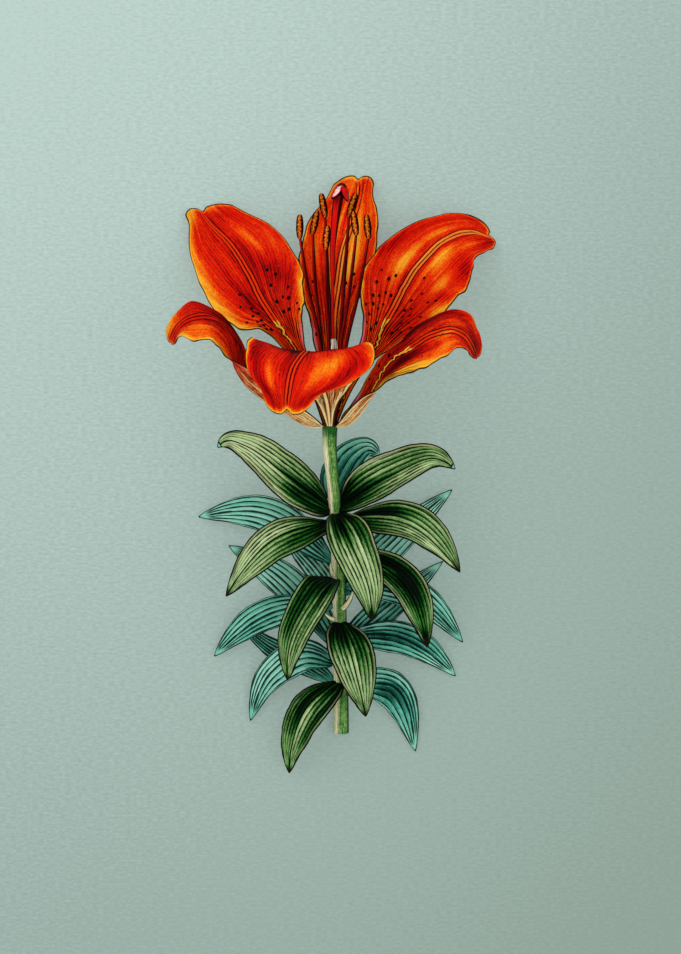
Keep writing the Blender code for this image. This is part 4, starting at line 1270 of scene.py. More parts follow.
def leaf_under(settings):
    """The underside: blue-green with dark parallel veins, each with a painted highlight along it."""
    made, n = new_finish("Leaf Underside")
    along = n.across_along()[1]
    vein, rim, pitch = n.attributes("vein", "margin", "pitch")
    noises = leaf_noises(n, vein, along, 2.5, 4.0)
    streak, grain = noises[2:4]
    tone = n.stirred(n.attribute("under"), *zip(noises, (1.6, 0.8, 0.5, 0.7, 0.8)))
    # Painted light and shade across each band: dark beside one vein and light towards the next.
    saw = n.math("SUBTRACT", vein, n.math("FLOOR", vein))
    tone = n.plus(tone, n.span(saw, 0.0, 0.8, -0.28, 0.25))
    base = n.ramp(n.plus(0.5, tone, 0.5), settings,
                  teal_shade=0.1, teal_deep=0.34, teal=0.56, teal_light=0.9)
    # Hatching deepens the painted shade where the tone is dark.
    dark = n.span(tone, 0.4, -0.6)
    hatch = n.drawn(vein, along, pitch, 4.0, 9.0, width=0.11, wander=0.8, broken=0.5)
    base = n.over(base, settings.teal_line, hatch["Mask"], n.span(dark, 0.0, 1.0, 0.1, 0.85))
    lines = n.drawn(vein, along, pitch, 1.0, 2.0, width=n.span(along, 0.05, 0.95, 0.34, 0.22),
                    wander=0.2, broken=0.12)
    base = n.over(base, settings.teal_line, lines["Mask"], 0.95)
    base = n.over(base, settings.teal_line, n.span(rim, 0.5, 0.3), 0.95)
    n.skin(base, n.span(streak, 0.3, 0.7, 0.5, 0.65), n.plus(lines["Height"], grain, 0.4), bump=0.25)
    return made


def stem_skin(settings):
    """The stem: green, with painted light on its pale left flank and painted shade down its right flank
    and under the flower, and a pale cut end.
    """
    made, n = new_finish("Stem Skin")
    turn, along = n.across_along()
    streak = n.streaks(turn, along, 30.0, 12.0)
    blotch = n.use(mottle(), size=350.0)["Value"]
    # The turn is 0 on the right, a quarter on top and a half on the left.
    wander = n.plus(turn, n.off_half(n.noise(n.vector(0.0, n.times(along, 14.0)), 1.0)), 0.12)
    # Painted light: the upper left flank is pale, but not just under the flower.
    pale = n.times(n.span(wander, 0.27, 0.34), n.span(turn, 0.62, 0.5), n.span(along, 0.985, 0.9))
    shade = n.stirred(n.off_half(streak), (blotch, 1.5))
    # Painted shade towards the flower, darkest just under it.
    shade = n.plus(shade, n.span(along, 0.93, 1.0), -0.3)
    green = n.ramp(n.plus(0.5, shade, 1.0), settings, deep=0.22, green=0.48, light=0.75)
    base = n.mix(n.times(pale, n.span(shade, -0.45, -0.1, 0.5, 1.0)), green, settings.pale)
    # Painted shade down the right flank, and a darker line down the left side.
    flank = n.math("MAXIMUM", n.span(turn, 0.16, 0.05), n.span(turn, 0.86, 0.98))
    base = n.over(base, settings.shade, flank, 0.85)
    left = n.times(n.span(turn, 0.45, 0.49), n.span(turn, 0.6, 0.52))
    base = n.over(base, settings.deep, left, 0.6)
    lines = n.use(vein_lines(), across=n.times(turn, 22.0), along=n.times(along, 9.0), pitch=0.8,
                  width=0.14, wander=0.5, broken=0.5)
    base = n.over(base, settings.shade, lines["Mask"], 0.55)
    # Painted shade just under the flower.
    base = n.over(base, settings.deep, n.span(along, 0.955, 0.985), 0.8)
    base = n.over(base, settings.cut, n.span(along, 0.006, 0.002))
    n.skin(base, n.span(streak, 0.3, 0.7, 0.45, 0.6), n.plus(lines["Height"], streak), bump=0.3)
    return made


def stub_skin(settings):
    """A torn leaf base: pale, with green fibres."""
    made, n = new_finish("Stub Skin")
    turn, along = n.across_along()
    streak = n.streaks(turn, along, 8.0, 3.0)
    base = n.ramp(streak, settings, green=0.3, pale=0.45, cut=0.7)
    # Painted shade: dark all round but for a strip along the top.
    side = n.away(turn, 0.25)
    base = n.over(base, settings.shade, n.span(side, 0.09, 0.15), 0.9)
    n.skin(base, 0.6, streak, bump=0.3)
    return made


def thread_skin(settings):
    """A filament: red on top, near black down both sides in painted shade."""
    made, n = new_finish("Filament Skin")
    turn, along = n.across_along()
    streak = n.streaks(turn, along, 9.0, 5.0)
    base = n.ramp(streak, settings, filament_dark=0.3, filament=0.5, filament_light=0.7)
    # Painted shade down both sides.
    side = n.away(turn, 0.32)
    base = n.over(base, settings.filament_dark, n.span(side, 0.05, 0.12), 0.97)
    n.skin(base, 0.5, streak, bump=0.2)
    return made


def style_skin(settings):
    """The style: saturated red, with painted shade down its right side and at its flared top."""
    made, n = new_finish("Style Skin")
    turn, along = n.across_along()
    streak = n.streaks(turn, along, 11.0, 6.0)
    base = n.ramp(streak, settings, stigma=0.3, style=0.5)
    base = n.over(base, settings.stigma, n.span(along, 0.6, 0.2, 0.0, 0.5))
    # Painted shade down the right side and at the top under the stigma, and a darker line down the left.
    reach = n.plus(0.14, n.span(along, 0.55, 0.95), 0.08)
    right = n.span(turn, n.math("ADD", reach, 0.03), n.math("SUBTRACT", reach, 0.03))
    right = n.math("MAXIMUM", right, n.span(turn, 0.75, 0.9))
    left = n.times(n.span(turn, 0.36, 0.41), n.span(turn, 0.62, 0.56))
    top = n.span(along, 0.82, 0.97)
    dark = n.math("MAXIMUM", n.math("MAXIMUM", right, left), n.times(top, 0.8))
    base = n.over(base, settings.style_dark, dark)
    n.skin(base, 0.5, streak, bump=0.2)
    return made


def anther_skin(settings):
    """Pollen: golden grains along the middle of a red-brown body, lit there in painted light, and near
    black down the right side in painted shade.
    """
    made, n = new_finish("Anther Pollen")
    turn, along = n.across_along()
    grain = n.noise(n.place(), 2600.0, 3.0, 0.7)
    bead = n.noise(n.vector(n.times(turn, 20.0), n.times(along, 17.0)), 1.0, 1.0)
    # Painted light lies a little left of the top, and painted shade makes the right side the darkest.
    away = n.away(turn, 0.27)
    lit = n.stirred(n.span(away, 0.17, 0.01, -0.05, 0.62), (bead, 1.9), (grain, 0.8))
    base = n.ramp(lit, settings, anther_dark=0.0, anther_red=0.24, anther=0.56, anther_light=0.95)
    # Painted shade down both sides and at both ends.
    scallop = n.times(n.off_half(bead), 0.12)
    uneven_turn = n.math("ADD", turn, scallop)
    rim = n.math("MAXIMUM", n.span(uneven_turn, 0.2, 0.15), n.span(uneven_turn, 0.4, 0.43))
    ends = n.math("ADD", n.span(along, 0.08, 0.03), n.span(along, 0.92, 0.97), clamp=True)
    base = n.over(base, settings.anther_dark, n.math("MAXIMUM", rim, ends), 0.95)
    n.skin(base, 0.85, n.times(n.math("ADD", grain, bead), 2.0), bump=0.6)
    return made


def stigma_skin(settings):
    """The stigma: dark red, with a painted pale pink highlight on its left lobe and a red right one."""
    made, n = new_finish("Stigma Skin")
    turn, along = n.across_along()
    blotch = n.use(mottle(), size=900.0)["Value"]
    base = n.ramp(blotch, settings, stigma=0.35, style=0.6)
    # Its top is where the piece's own length runs past a half, and its rim is at the half.
    # A painted highlight on the left lobe.
    left = n.times(n.span(turn, 0.27, 0.31), n.span(turn, 0.42, 0.39))
    left = n.times(left, n.span(along, 0.58, 0.63), n.span(along, 0.92, 0.86))
    base = n.over(base, settings.stigma_light, left, n.span(blotch, 0.4, 0.5))
    # Painted shade under the rim, down the sides and over the top.
    side = n.away(turn, 0.25)
    rim = n.math("MAXIMUM", n.span(along, 0.57, 0.53), n.span(side, 0.16, 0.185))
    rim = n.math("MAXIMUM", rim, n.span(along, 0.86, 0.92))
    base = n.over(base, settings.stigma_dark, rim)
    n.skin(base, 0.4, blotch, bump=0.4)
    return made


def ovary_skin(settings):
    """The ovary: pale green ribs with darker furrows and a painted pink highlight along its top."""
    made, n = new_finish("Ovary Skin")
    turn, along = n.across_along()
    streak = n.streaks(turn, along, 18.0, 3.0)
    base = n.ramp(streak, settings, ovary_deep=0.25, ovary=0.4, ovary_pale=0.6)
    furrow = n.use(vein_lines(), across=n.times(turn, 12.0), along=along, pitch=1.1,
                   width=0.24, wander=0.1, broken=0.1)
    base = n.over(base, settings.ovary_deep, furrow["Mask"], 0.95)
    base = n.over(base, settings.ovary_deep, n.span(along, 0.955, 0.985), 0.9)
    # A painted pink highlight along the top.
    base = n.over(base, settings.pink_highlight, n.span(n.away(turn, 0.24), 0.05, 0.03), 0.9)
    n.skin(base, 0.5, n.plus(furrow["Height"], streak), bump=0.3)
    return made


def make_stem(settings):
    """The stem as one round rod that flares to the seat of the flower, fluted a little."""
    seat = np.array(STEM_LINE[-1])
    line = [*STEM_LINE[:-1], seat - unit(FLOWER_AXIS) * SEAT_LENGTH, seat]
    shares = shares_of(line)

    def shape(turn, along):
        # The first and last rows lie close together, where the rims are rounded.
        inner = np.linspace(STEM_RIM[-1], 1 - STEM_RIM[-1], len(along) - 2 * len(STEM_RIM) + 2)
        places = np.concatenate([STEM_RIM[:-1], inner, 1 - np.array(STEM_RIM[-2::-1])])
        middle = follow(line, shares, places)
        right, up = frames(middle)
        flute = 1 + settings.flute * (np.cos(5 * turn + 0.6) + 0.5 * np.cos(11 * turn) - 1.5)
        wander = 1 + 0.012 * np.sin(9 * along * math.pi + 2 * np.sin(turn))
        row = np.arange(len(places))
        rim = np.interp(np.minimum(row, row[::-1]), range(len(STEM_RIM)), STEM_RIM_WIDTHS)
        reach = (stem_radius(places) * rim)[:, None] * flute * wander
        return ringed(middle[:, None], right[:, None], up[:, None], reach, turn)

    return rolled("stalk", STEM_GRID, shape)


def make_rod(name, line, radii, grid, blunt):
    """A fine round rod along a smooth line, rounded over the blunt share of it at each end."""
    shares = shares_of(line)

    def shape(turn, along):
        places = 0.5 * along[:, 0] + 0.25 - 0.25 * np.cos(math.pi * along[:, 0])
        middle = follow(line, shares, places)
        right, up = frames(middle)
        reach = np.interp(places, np.linspace(0.0, 1.0, len(radii)), radii) * round_ends(places, blunt)
        return ringed(middle[:, None], right[:, None], up[:, None], reach[:, None], turn)

    return rolled(name, grid, shape)


def capped(name, middle, axis, fullness, grid, profile):
    """A body that closes at both ends of its axis. profile(turn, along, share, rise) gives how far out of
    the axis and along it its points lie, where share is its width there and rise runs from -1 to 1."""
    axis = unit(axis)
    right = outward(axis, 0)
    up = np.cross(right, axis)

    def shape(turn, along):
        polar = math.pi * (1 - along)
        share = np.abs(np.sin(polar)) ** fullness
        share[0] = share[-1] = 0.0
        reach, lift = profile(turn, along, share, np.cos(polar))
        return ringed(np.asarray(middle) + axis * lift[..., None], right, up, reach, turn)

    return rolled(name, grid, shape)


def make_body(name, middle, axis, size, lobes, grid, crease, grains=0.0):
    """A long rounded body with lobes round its axis, as the ovary and the anthers have."""
    length, radius, fullness = size
    count, depth = lobes

    def profile(turn, along, share, rise):
        furrow = crease * np.maximum(np.cos(count * (turn + math.pi / count)), 0.0) ** 6
        rough = grains * share * np.sin(9 * turn + 7 * np.sin(40 * along)) * np.sin(61 * along + 3 * turn)
        return radius * share * (1 + depth * np.cos(count * turn) - furrow) + rough, rise * length / 2

    return capped(name, middle, axis, fullness, grid, profile)


def make_stigma(middle, axis):
    """The stigma as a cap whose three thick lobes hang down round the top of the style."""

    def profile(turn, along, share, rise):
        lobe = (0.5 + 0.5 * np.cos(3 * (turn - math.pi / 6))) ** 0.6
        droop = STIGMA_DROOP * share**2 * (0.3 + 1.9 * lobe)
        return STIGMA_RADIUS * share * (0.55 + 0.5 * lobe), rise * STIGMA_HEIGHT / 2 - droop

    return capped("pistil_stigma", middle, axis, STIGMA_FULLNESS, STIGMA_GRID, profile)


def sideways_of(points):
    """The unit direction across a lattice of points, at each of them."""
    ahead = np.gradient(points, axis=1)
    return ahead / np.maximum(np.linalg.norm(ahead, axis=2, keepdims=True), 1e-9)


def uneven(along, seed):
    """An irregular wave about 0 along an edge."""
    return (np.sin(along * 31.0 + seed) + 0.7 * np.sin(along * 53.0 + 2.1 * seed)
            + 0.5 * np.sin(along * 89.0 + 3.7 * seed)) / 1.6


def lay_blade(name, columns, rows, surface, thickness, crowd=1.0):
    """A blade's grid with its places, its points, and each point's millimetres to midrib and edges."""
    piece, across, along, order = grid_piece(name, columns, rows)
    across = np.sign(across) * np.abs(across) ** crowd
    along = eased(along)
    points = surface(across.ravel(), along.ravel()).reshape(*across.shape, 3)
    points[..., 2] = pressed(points[..., 2], thickness)
    return piece, order, across, along, points, *measures(points, across)


def make_leaf(name, number, settings):
    """A leaf of parallel veins, bulging a little between them, with a gently waved edge."""
    near = name in LEAF_LIGHT_AND_SHADE
    bands = settings.bands if near else settings.bands_under
    piece, order, across, along, points, side, margin, half = lay_blade(
        name.replace("leaf", "blade"), BAND_COLUMNS * settings.bands, LEAF_ROWS, leaf_surface(name),
        LEAF_THICKNESS,
    )
    vein = across * bands / 2
    pitch = np.gradient(side, axis=1) / np.gradient(vein, axis=1)
    wide = np.minimum(half / 4.0, 1.0)
    notches = settings.notches * wide * across**7 * uneven(along, number + across)
    points += sideways_of(points) * notches[..., None]
    swell = np.abs(np.sin(math.pi * vein)) ** 0.6 * np.minimum(half / 3.0, 1.0) * (1.0 if near else 0.4)
    wave = np.sin(along * 21.0 + 3 * np.sign(across)) * across**4 * wide
    rise = settings.relief * (swell - 0.5) + settings.wave * wave
    rise -= settings.keel * np.exp(-((side / 0.5) ** 2)) * np.minimum(half / 2.0, 1.0)
    place(piece, order, points + facing(points) * rise[..., None])
    keep_uv(piece, order, (across + 1) / 2, along)
    # A leaf's tone holds its greens along it and, on the near side, its strokes, with painted light and
    # shade in both.
    tone = np.interp(along, *zip(*LEAF_TONE)) + strokes(LEAF_LIGHT_AND_SHADE.get(name, []), across, along)
    # The underside's tone: painted shade near the stem, a slow wave along it and the strokes of painted
    # shade.
    under = 0.45 + 0.15 * np.sin(along * 5 + number) - 0.9 * np.exp(-along / 0.12)
    under = under + strokes(UNDER_STROKES.get(name, []), across, along)
    border = np.where(across < 0, *LEAF_BORDERS.get(name, (0.0, 0.0)))
    note(piece, order, tone=tone, under=under, vein=vein, pitch=pitch, side=side, margin=margin,
         keel=float(near), curl=float(name in CURLED), border=border, leaf=number * 1.7)
    return piece, order, margin


def spotted(points, marks):
    """How far inside a spot each point of a lattice is, in millimetres."""
    inside = np.full(points.shape[:2], -1.0)
    ahead = np.gradient(points, axis=0)
    ahead /= np.maximum(np.linalg.norm(ahead, axis=2, keepdims=True), 1e-9)
    for row, column, size in marks:
        away = points - points[row, column]
        long = (away * ahead[row, column]).sum(axis=2)
        wide = np.sqrt(np.maximum((away**2).sum(axis=2) - long**2, 0.0))
        reach = np.sqrt((wide / (SPOT_WIDTH * size)) ** 2 + (long / (SPOT_LENGTH * size)) ** 2)
        inside = np.maximum(inside, (1 - reach) * SPOT_WIDTH * size)
    return inside


def marks_of(name, points, across, along, chance):
    """The lattice places of a tepal's spots: those of the photograph, and the strewn ones."""
    found = []
    flat = seen(points)
    for spot in SPOTS.get(name, []):
        distance = np.linalg.norm(flat - spot, axis=2) + (along < 0.2) * 50
        row, column = np.unravel_index(distance.argmin(), distance.shape)
        found.append((row, column, chance.uniform(0.85, 1.2)))
    start, end, count = STREWN[name]
    for _ in range(count):
        row = np.abs(along[:, 0] - chance.uniform(start, end)).argmin()
        column = np.abs(across[0] - chance.uniform(-STREWN_REACH, STREWN_REACH)).argmin()
        if abs(across[0, column]) > STREWN_CLEAR:
            found.append((row, column, chance.uniform(0.55, 1.0)))
    return found


def rib_line(points, across, along, drawn):
    """How far across a tepal its drawn rib runs on each row, and how far along it each pixel lies."""
    flat = seen(points)
    found = []
    for pixel in drawn:
        distance = np.linalg.norm(flat - pixel, axis=2) + np.abs(across) * 4
        row, column = np.unravel_index(distance.argmin(), distance.shape)
        found.append((along[row, column], across[row, column]))
    places = np.array(sorted(found))
    spread = np.interp(along[:, 0], *np.vstack([(0.0, 0.0), places]).T)
    kernel = np.hanning(17)
    spread = np.convolve(np.pad(spread, 8, mode="edge"), kernel / kernel.sum(), mode="valid")
    return spread, [place[0] for place in found]


def make_tepal(name, number, settings, chance):
    """A tepal with its double rib, shallow folds along it, a ruffled edge and raised dark spots."""
    piece, order, across, along, points, side, margin, half = lay_blade(
        name.replace("tepal", "petal"), *TEPAL_GRID, tepal_surface(name), TEPAL_THICKNESS, TEPAL_CROWD
    )
    shown, fades, golden, yellows, drawn = RIBS[name]
    spread, rows = rib_line(points, across, along, drawn)
    middle = np.array([np.interp(spread[k], across[k], side[k]) for k in range(len(side))])[:, None]
    rib = (side - middle) / np.minimum(settings.rib_width, 0.34 * half)
    wide = np.minimum(half / 8.0, 1.0)
    free = np.clip((along - 0.25) / 0.2, 0.0, 1.0) * wide
    scallop = settings.scallop * free * across**7 * uneven(along, number + across)
    points += sideways_of(points) * scallop[..., None]
    tip = np.clip((1 - along) / 0.12, 0.0, 1.0)
    ridge = np.exp(-(((np.abs(rib) - 0.55) / 0.3) ** 2)) - 0.6 * np.exp(-((rib / 0.3) ** 2))
    rise = settings.rib_height * ridge * tip * np.clip(half / 3.0, 0.2, 1.0)
    folds = np.sin(across * 11.0 + 1.4 * np.sin(along * 5.0)) * (1 - np.exp(-((across / 0.2) ** 2)))
    rise = rise + settings.fold * folds * wide * np.sin(math.pi * along) ** 0.5
    edge = np.abs(across) ** 5 * np.sin(along * 38.0 + 2 * number + 2.2 * np.sign(across))
    rise = rise + settings.ruffle * edge * wide
    inside = spotted(points, marks_of(name, points, across, along, chance))
    rise = rise + settings.spot_height * np.clip(inside / 0.4 + 0.4, 0.0, 1.0)
    place(piece, order, points + facing(points) * rise[..., None])
    keep_uv(piece, order, (across + 1) / 2, along)
    # The veins fan out towards the margin from where the tepal widens.
    opened = np.clip((along - 0.3) / 0.65, 0.0, 1.0)
    fan = across * (1 - 0.5 * opened**2 * (3 - 2 * opened))
    flank, where = PINK_EDGES.get(name, (0, 0.3))
    # The margin counts the way to the tip too, so that the outline goes round the end.
    rim = np.minimum(margin, (1 - along) * TEPAL_LENGTH + 0.1)
    # The tone holds the strokes of painted light and shade.
    note(piece, order, fan=fan, pitch=np.gradient(side, axis=1) / np.gradient(fan, axis=1),
         tone=strokes(TEPAL_LIGHT_AND_SHADE[name], across, along), rib=rib, margin=rim, spot=inside,
         across=across, ridge=shown * np.clip((fades - along) / 0.08 + 1, 0.0, 1.0),
         veined=VEINED.get(name, 1.0), golden=golden,
         yellow=(rows[yellows - 1] if yellows else NO_YELLOW) - along,
         pink=np.exp(-(((along - where) / 0.06) ** 2)) * (across * flank > 0))
    return piece, order, margin


def colour(label, use, red, green, blue):
    """A colour property in the print's own numbers."""
    return bpy.props.FloatVectorProperty(
        name=label, description=use, subtype="COLOR", size=3, min=0.0, max=1.0,
        default=ink(red, green, blue)
    )


def amount(label, use, value, **more):
    """A property that holds one number."""
    return bpy.props.FloatProperty(name=label, description=use, default=value, **more)


def length(label, use, value):
    """A length property in the lily's millimetres."""
    return amount(label, use + ", in millimetres", value, min=0.0)


def how_many(label, use, value, **more):
    """A property that counts."""
    return bpy.props.IntProperty(name=label, description=use, default=value, min=2, **more)


class TepalSettings(bpy.types.PropertyGroup):
    """Sizes and colours of the six tepals."""

    thickness: length("Thickness", "How thick a tepal is in its middle", 0.6)
    rib_width: length("Rib Width", "Half the width of the double rib", 1.08)
    rib_height: length("Rib Height", "How far the double rib stands up", 0.35)
    fold: length("Fold", "Depth of the folds that run along a tepal", 0.2)
    ruffle: length("Ruffle", "How far the edge waves up and down", 0.35)
    scallop: length("Scallop", "How far the edge waves in and out", 0.6)
    spot_height: length("Spot Height", "How far a dark spot stands up", 0.25)
    # Where a tepal's tone puts them, Maroon and Deep Red are painted shade and Orange and Gold painted
    # highlights; Gold along the edges is the tepal's own.
    maroon: colour("Maroon", "In the deepest hollows", 44, 0, 2)
    deep: colour("Deep Red", "In the shaded hollows", 122, 0, 1)
    red: colour("Red", "Over most of the face", 206, 10, 2)
    warm: colour("Warm Red", "Between red and orange", 230, 38, 3)
    orange: colour("Orange", "Where the face catches the light", 240, 108, 10)
    gold: colour("Gold", "Along the edges", 248, 176, 44)
    rib: colour("Rib", "The two ridges of the rib", 230, 62, 8)
    rib_gold: colour("Rib Gold", "The ridges where they are golden", 244, 160, 54)
    rib_yellow: colour("Rib Yellow", "The ridges near the claw", 244, 184, 66)
    line: colour("Line", "Veins and outlines", 34, 0, 2)
    spot: colour("Spot", "The raised spots", 10, 0, 2)
    pink: colour("Pink", "The pale edge near the claw", 250, 130, 160)
    claw_cream: colour("Claw Cream", "Ribs and edges of the claw's back", 255, 220, 152)
    # Claw Tan, Claw Pink and Claw Brown follow the painted shade that darkens the claw's back.
    claw_tan: colour("Claw Tan", "The claw's back", 242, 160, 90)
    claw_pink: colour("Claw Pink", "The claw's back where it darkens", 218, 104, 54)
    claw_brown: colour("Claw Brown", "The shaded parts of the claw's back", 138, 46, 16)
    claw_line: colour("Claw Line", "Lines on the claw's back", 44, 12, 6)


class LeafSettings(bpy.types.PropertyGroup):
    """Sizes and colours of the leaves."""

    thickness: length("Thickness", "How thick a leaf is in its middle", 0.6)
    relief: length("Relief", "How far a leaf bulges between its veins", 0.3)
    keel: length("Keel", "How deep the midrib is sunk", 0.3)
    wave: length("Wave", "How far the edge waves up and down", 0.2)
    notches: length("Notches", "How far the edge waves in and out", 0.1)
    bands: how_many("Bands", "Bands of a near leaf", 10, max=12)
    bands_under: how_many("Bands Under", "Bands of a leaf behind", 7)
    # Where a leaf's tone puts them, Shade and Deep Green are painted shade and Pale Green painted light,
    # besides the leaf's own greens.
    shade: colour("Shade", "Darkest green, at the root", 2, 12, 4)
    deep: colour("Deep Green", "Shaded bands", 4, 60, 8)
    green: colour("Green", "Saturated bands", 34, 112, 28)
    mild: colour("Mild Green", "Most of the leaf", 104, 144, 80)
    light: colour("Light Green", "Towards the tip", 152, 182, 120)
    pale: colour("Pale Green", "Where the leaf catches the light", 196, 214, 162)
    line: colour("Line", "Veins and outline", 1, 8, 3)
    edge: colour("Edge", "The leaf's rim", 190, 188, 132)
    tip: colour("Tip", "The dry tip", 24, 18, 10)
    curl: colour("Curl", "A tip that curls over", 132, 196, 168)
    # Teal Shade and Deep Teal are painted shade and Light Teal painted light, besides the underside's own
    # teal.
    teal: colour("Teal", "The underside", 88, 174, 150)
    teal_light: colour("Light Teal", "Where the underside catches the light", 156, 216, 194)
    teal_deep: colour("Deep Teal", "The underside's shaded bands", 40, 122, 102)
    teal_shade: colour("Teal Shade", "The underside near the stem", 8, 46, 36)
    teal_line: colour("Teal Line", "Veins of the underside", 1, 14, 10)


class StemSettings(bpy.types.PropertyGroup):
    """Sizes and colours of the stem."""

    flute: amount("Flute", "Share of the radius that its flutes cut", 0.02)
    green: colour("Green", "Most of the stem", 88, 148, 66)
    deep: colour("Deep Green", "Its darker fibres", 34, 88, 34)
    light: colour("Light Green", "Its lighter fibres", 160, 190, 112)
    # The dark flank is painted shade and the pale flank painted light.
    shade: colour("Shade", "Its dark flank", 12, 44, 20)
    pale: colour("Pale", "Its pale flank", 240, 232, 186)
    cut: colour("Cut", "The cut end", 240, 234, 190)


class HeartSettings(bpy.types.PropertyGroup):
    """Colours of the pistil and the stamens."""

    ovary: colour("Ovary", "The ovary's ribs", 206, 218, 178)
    ovary_pale: colour("Pale Ovary", "The crests of its ribs", 246, 248, 226)
    ovary_deep: colour("Deep Ovary", "Its furrows", 30, 40, 22)
    # The pink stripe is a painted highlight along the ovary's top.
    pink_highlight: colour("Blush", "The pink stripe on the ovary", 252, 190, 205)
    style: colour("Style", "The style", 218, 16, 8)
    # Dark Style is the painted shade down the style's right side and under the stigma.
    style_dark: colour("Dark Style", "Its dark side and top", 46, 2, 5)
    stigma: colour("Stigma", "The stigma", 150, 14, 20)
    stigma_light: colour("Light Stigma", "The light on its left lobe", 252, 206, 210)
    # Dark Stigma is the painted shade under and round the stigma's lobes.
    stigma_dark: colour("Dark Stigma", "The stigma's hollows", 34, 2, 6)
    filament: colour("Filament", "The filaments", 146, 6, 6)
    filament_light: colour("Light Filament", "Their lit fibres", 196, 24, 10)
    # Dark Filament is the painted shade down their sides.
    filament_dark: colour("Dark Filament", "Their dark sides", 28, 2, 3)
    anther: colour("Anther", "Pollen", 226, 106, 14)
    anther_light: colour("Light Anther", "Pollen in the light", 255, 196, 60)
    anther_red: colour("Anther Red", "Pollen down the sides", 150, 26, 8)
    # Dark Anther is the painted shade down its sides and at its ends.
    anther_dark: colour("Dark Anther", "The anther's edge", 26, 5, 3)


class StageSettings(bpy.types.PropertyGroup):
    """The plain floor, the light and the camera."""

    # The floor's four tints are a painted light gradient, lightest at the upper left and darkest at the
    # lower right.
    light: colour("Floor Light", "The floor at the upper left", 184, 206, 199)
    mild: colour("Floor Mild", "The floor right of the flower", 161, 182, 175)
    dim: colour("Floor Dim", "The floor round the foot of the stem", 151, 172, 164)
    dark: colour("Floor Dark", "The floor at the lower right", 140, 159, 149)
    glow: amount("Glow", "Light that comes up through the floor", 0.5)
    fill: amount("Fill", "Strength of the light from all round", 0.8)
    lamp: amount("Lamp", "Power of each soft lamp", 7.8, unit="POWER")


class LILY_OT_stem(bpy.types.Operator):
    """Model the stem"""

    bl_idname = "lily.stem"
    bl_label = "Stem"

    def execute(self, context):
        settings = context.scene.lily_stem
        finish_piece(make_stem(settings), "stem", "stem", stem_skin(settings))
        torn = stub_skin(settings)
        for name, (line, radii) in STUBS.items():
            finish_piece(make_rod(name, line, radii, STUB_GRID, STUB_BLUNT), None, "leaf", torn)
        return {"FINISHED"}


class LILY_OT_leaves(bpy.types.Operator):
    """Model the leaves"""

    bl_idname = "lily.leaves"
    bl_label = "Leaves"

    def execute(self, context):
        settings = context.scene.lily_leaves
        finishes = leaf_face(settings), leaf_under(settings)
        for number, name in enumerate(LEAVES):
            blade = make_leaf(name, number, settings)
            finish_blade(*blade, name, "leaf", finishes, LEAF_EDGE, settings.thickness)
        return {"FINISHED"}


class LILY_OT_tepals(bpy.types.Operator):
    """Model the tepals"""

    bl_idname = "lily.tepals"
    bl_label = "Tepals"

    def execute(self, context):
        settings = context.scene.lily_tepals
        finishes = tepal_front(settings), tepal_back(settings)
        chance = np.random.default_rng(SPOT_SEED)
        for number, name in enumerate(TEPALS):
            blade = make_tepal(name, number, settings, chance)
            finish_blade(*blade, name, "tepal", finishes, TEPAL_EDGE, settings.thickness)
        return {"FINISHED"}


class LILY_OT_pistil(bpy.types.Operator):
    """Model the ovary, the style and the stigma"""

    bl_idname = "lily.pistil"
    bl_label = "Pistil"

    def execute(self, context):
        settings = context.scene.lily_heart
        seat = np.array(STEM_LINE[-1])
        axis = unit(FLOWER_AXIS)
        size = (OVARY_LENGTH + OVARY_SUNK, OVARY_RADIUS, OVARY_FULLNESS)
        middle = seat + axis * (SEAT + OVARY_LENGTH / 2)
        piece = make_body("pistil_ovary", middle, axis, size, OVARY_LOBES, OVARY_GRID, OVARY_CREASE)
        finish_piece(piece, "ovary", "ovary", ovary_skin(settings))
        top = seat + axis * (2 * SEAT + OVARY_LENGTH)
        line = [top - axis * STYLE_SUNK, *STYLE_LINE]
        piece = make_rod("pistil_style", line, STYLE_RADII, STYLE_GRID, STYLE_BLUNT)
        finish_piece(piece, "style", "style", style_skin(settings))
        direction = unit(np.subtract(STYLE_LINE[-1], STYLE_LINE[-2]))
        middle = STYLE_LINE[-1] + direction * (1.2 * SEAT + STIGMA_HEIGHT / 2) + np.array(STIGMA_SHIFT)
        piece = make_stigma(middle, direction)
        finish_piece(piece, "stigma", "stigma", stigma_skin(settings))
        return {"FINISHED"}


class LILY_OT_stamens(bpy.types.Operator):
    """Model the filaments and the anthers"""

    bl_idname = "lily.stamens"
    bl_label = "Stamens"

    def execute(self, context):
        settings = context.scene.lily_heart
        thread = thread_skin(settings)
        pollen = anther_skin(settings)
        seat = np.array(STEM_LINE[-1])
        axis = unit(FLOWER_AXIS)
        size = (ANTHER_LENGTH, ANTHER_WIDTH / 2, ANTHER_FULLNESS)
        for number, (side, middle, lean) in STAMENS.items():
            angle = math.radians(lean)
            direction = unit((math.sin(angle), math.cos(angle), ANTHER_RISE))
            piece = make_body("pollen_" + number, middle, direction, size, ANTHER_LOBES, ANTHER_GRID,
                              ANTHER_CREASE, ANTHER_GRAINS)
            finish_piece(piece, "anther_" + number, "anther", pollen)
            out = outward(axis, side)
            root = seat - axis * FILAMENT_SUNK + out * FILAMENT_ROOT
            low, high = (seat + axis * along + out * away for along, away in FILAMENT_RINGS)
            foot = middle - direction * (ANTHER_LENGTH / 2 + SEAT)
            bend = high + (foot - high) * FILAMENT_BEND + out * FILAMENT_BOW
            line = [root, low, high, bend, foot + direction * TIP_SUNK]
            piece = make_rod("thread_" + number, line, FILAMENT_RADII, FILAMENT_GRID, FILAMENT_BLUNT)
            finish_piece(piece, "filament_" + number, "filament", thread)
        return {"FINISHED"}


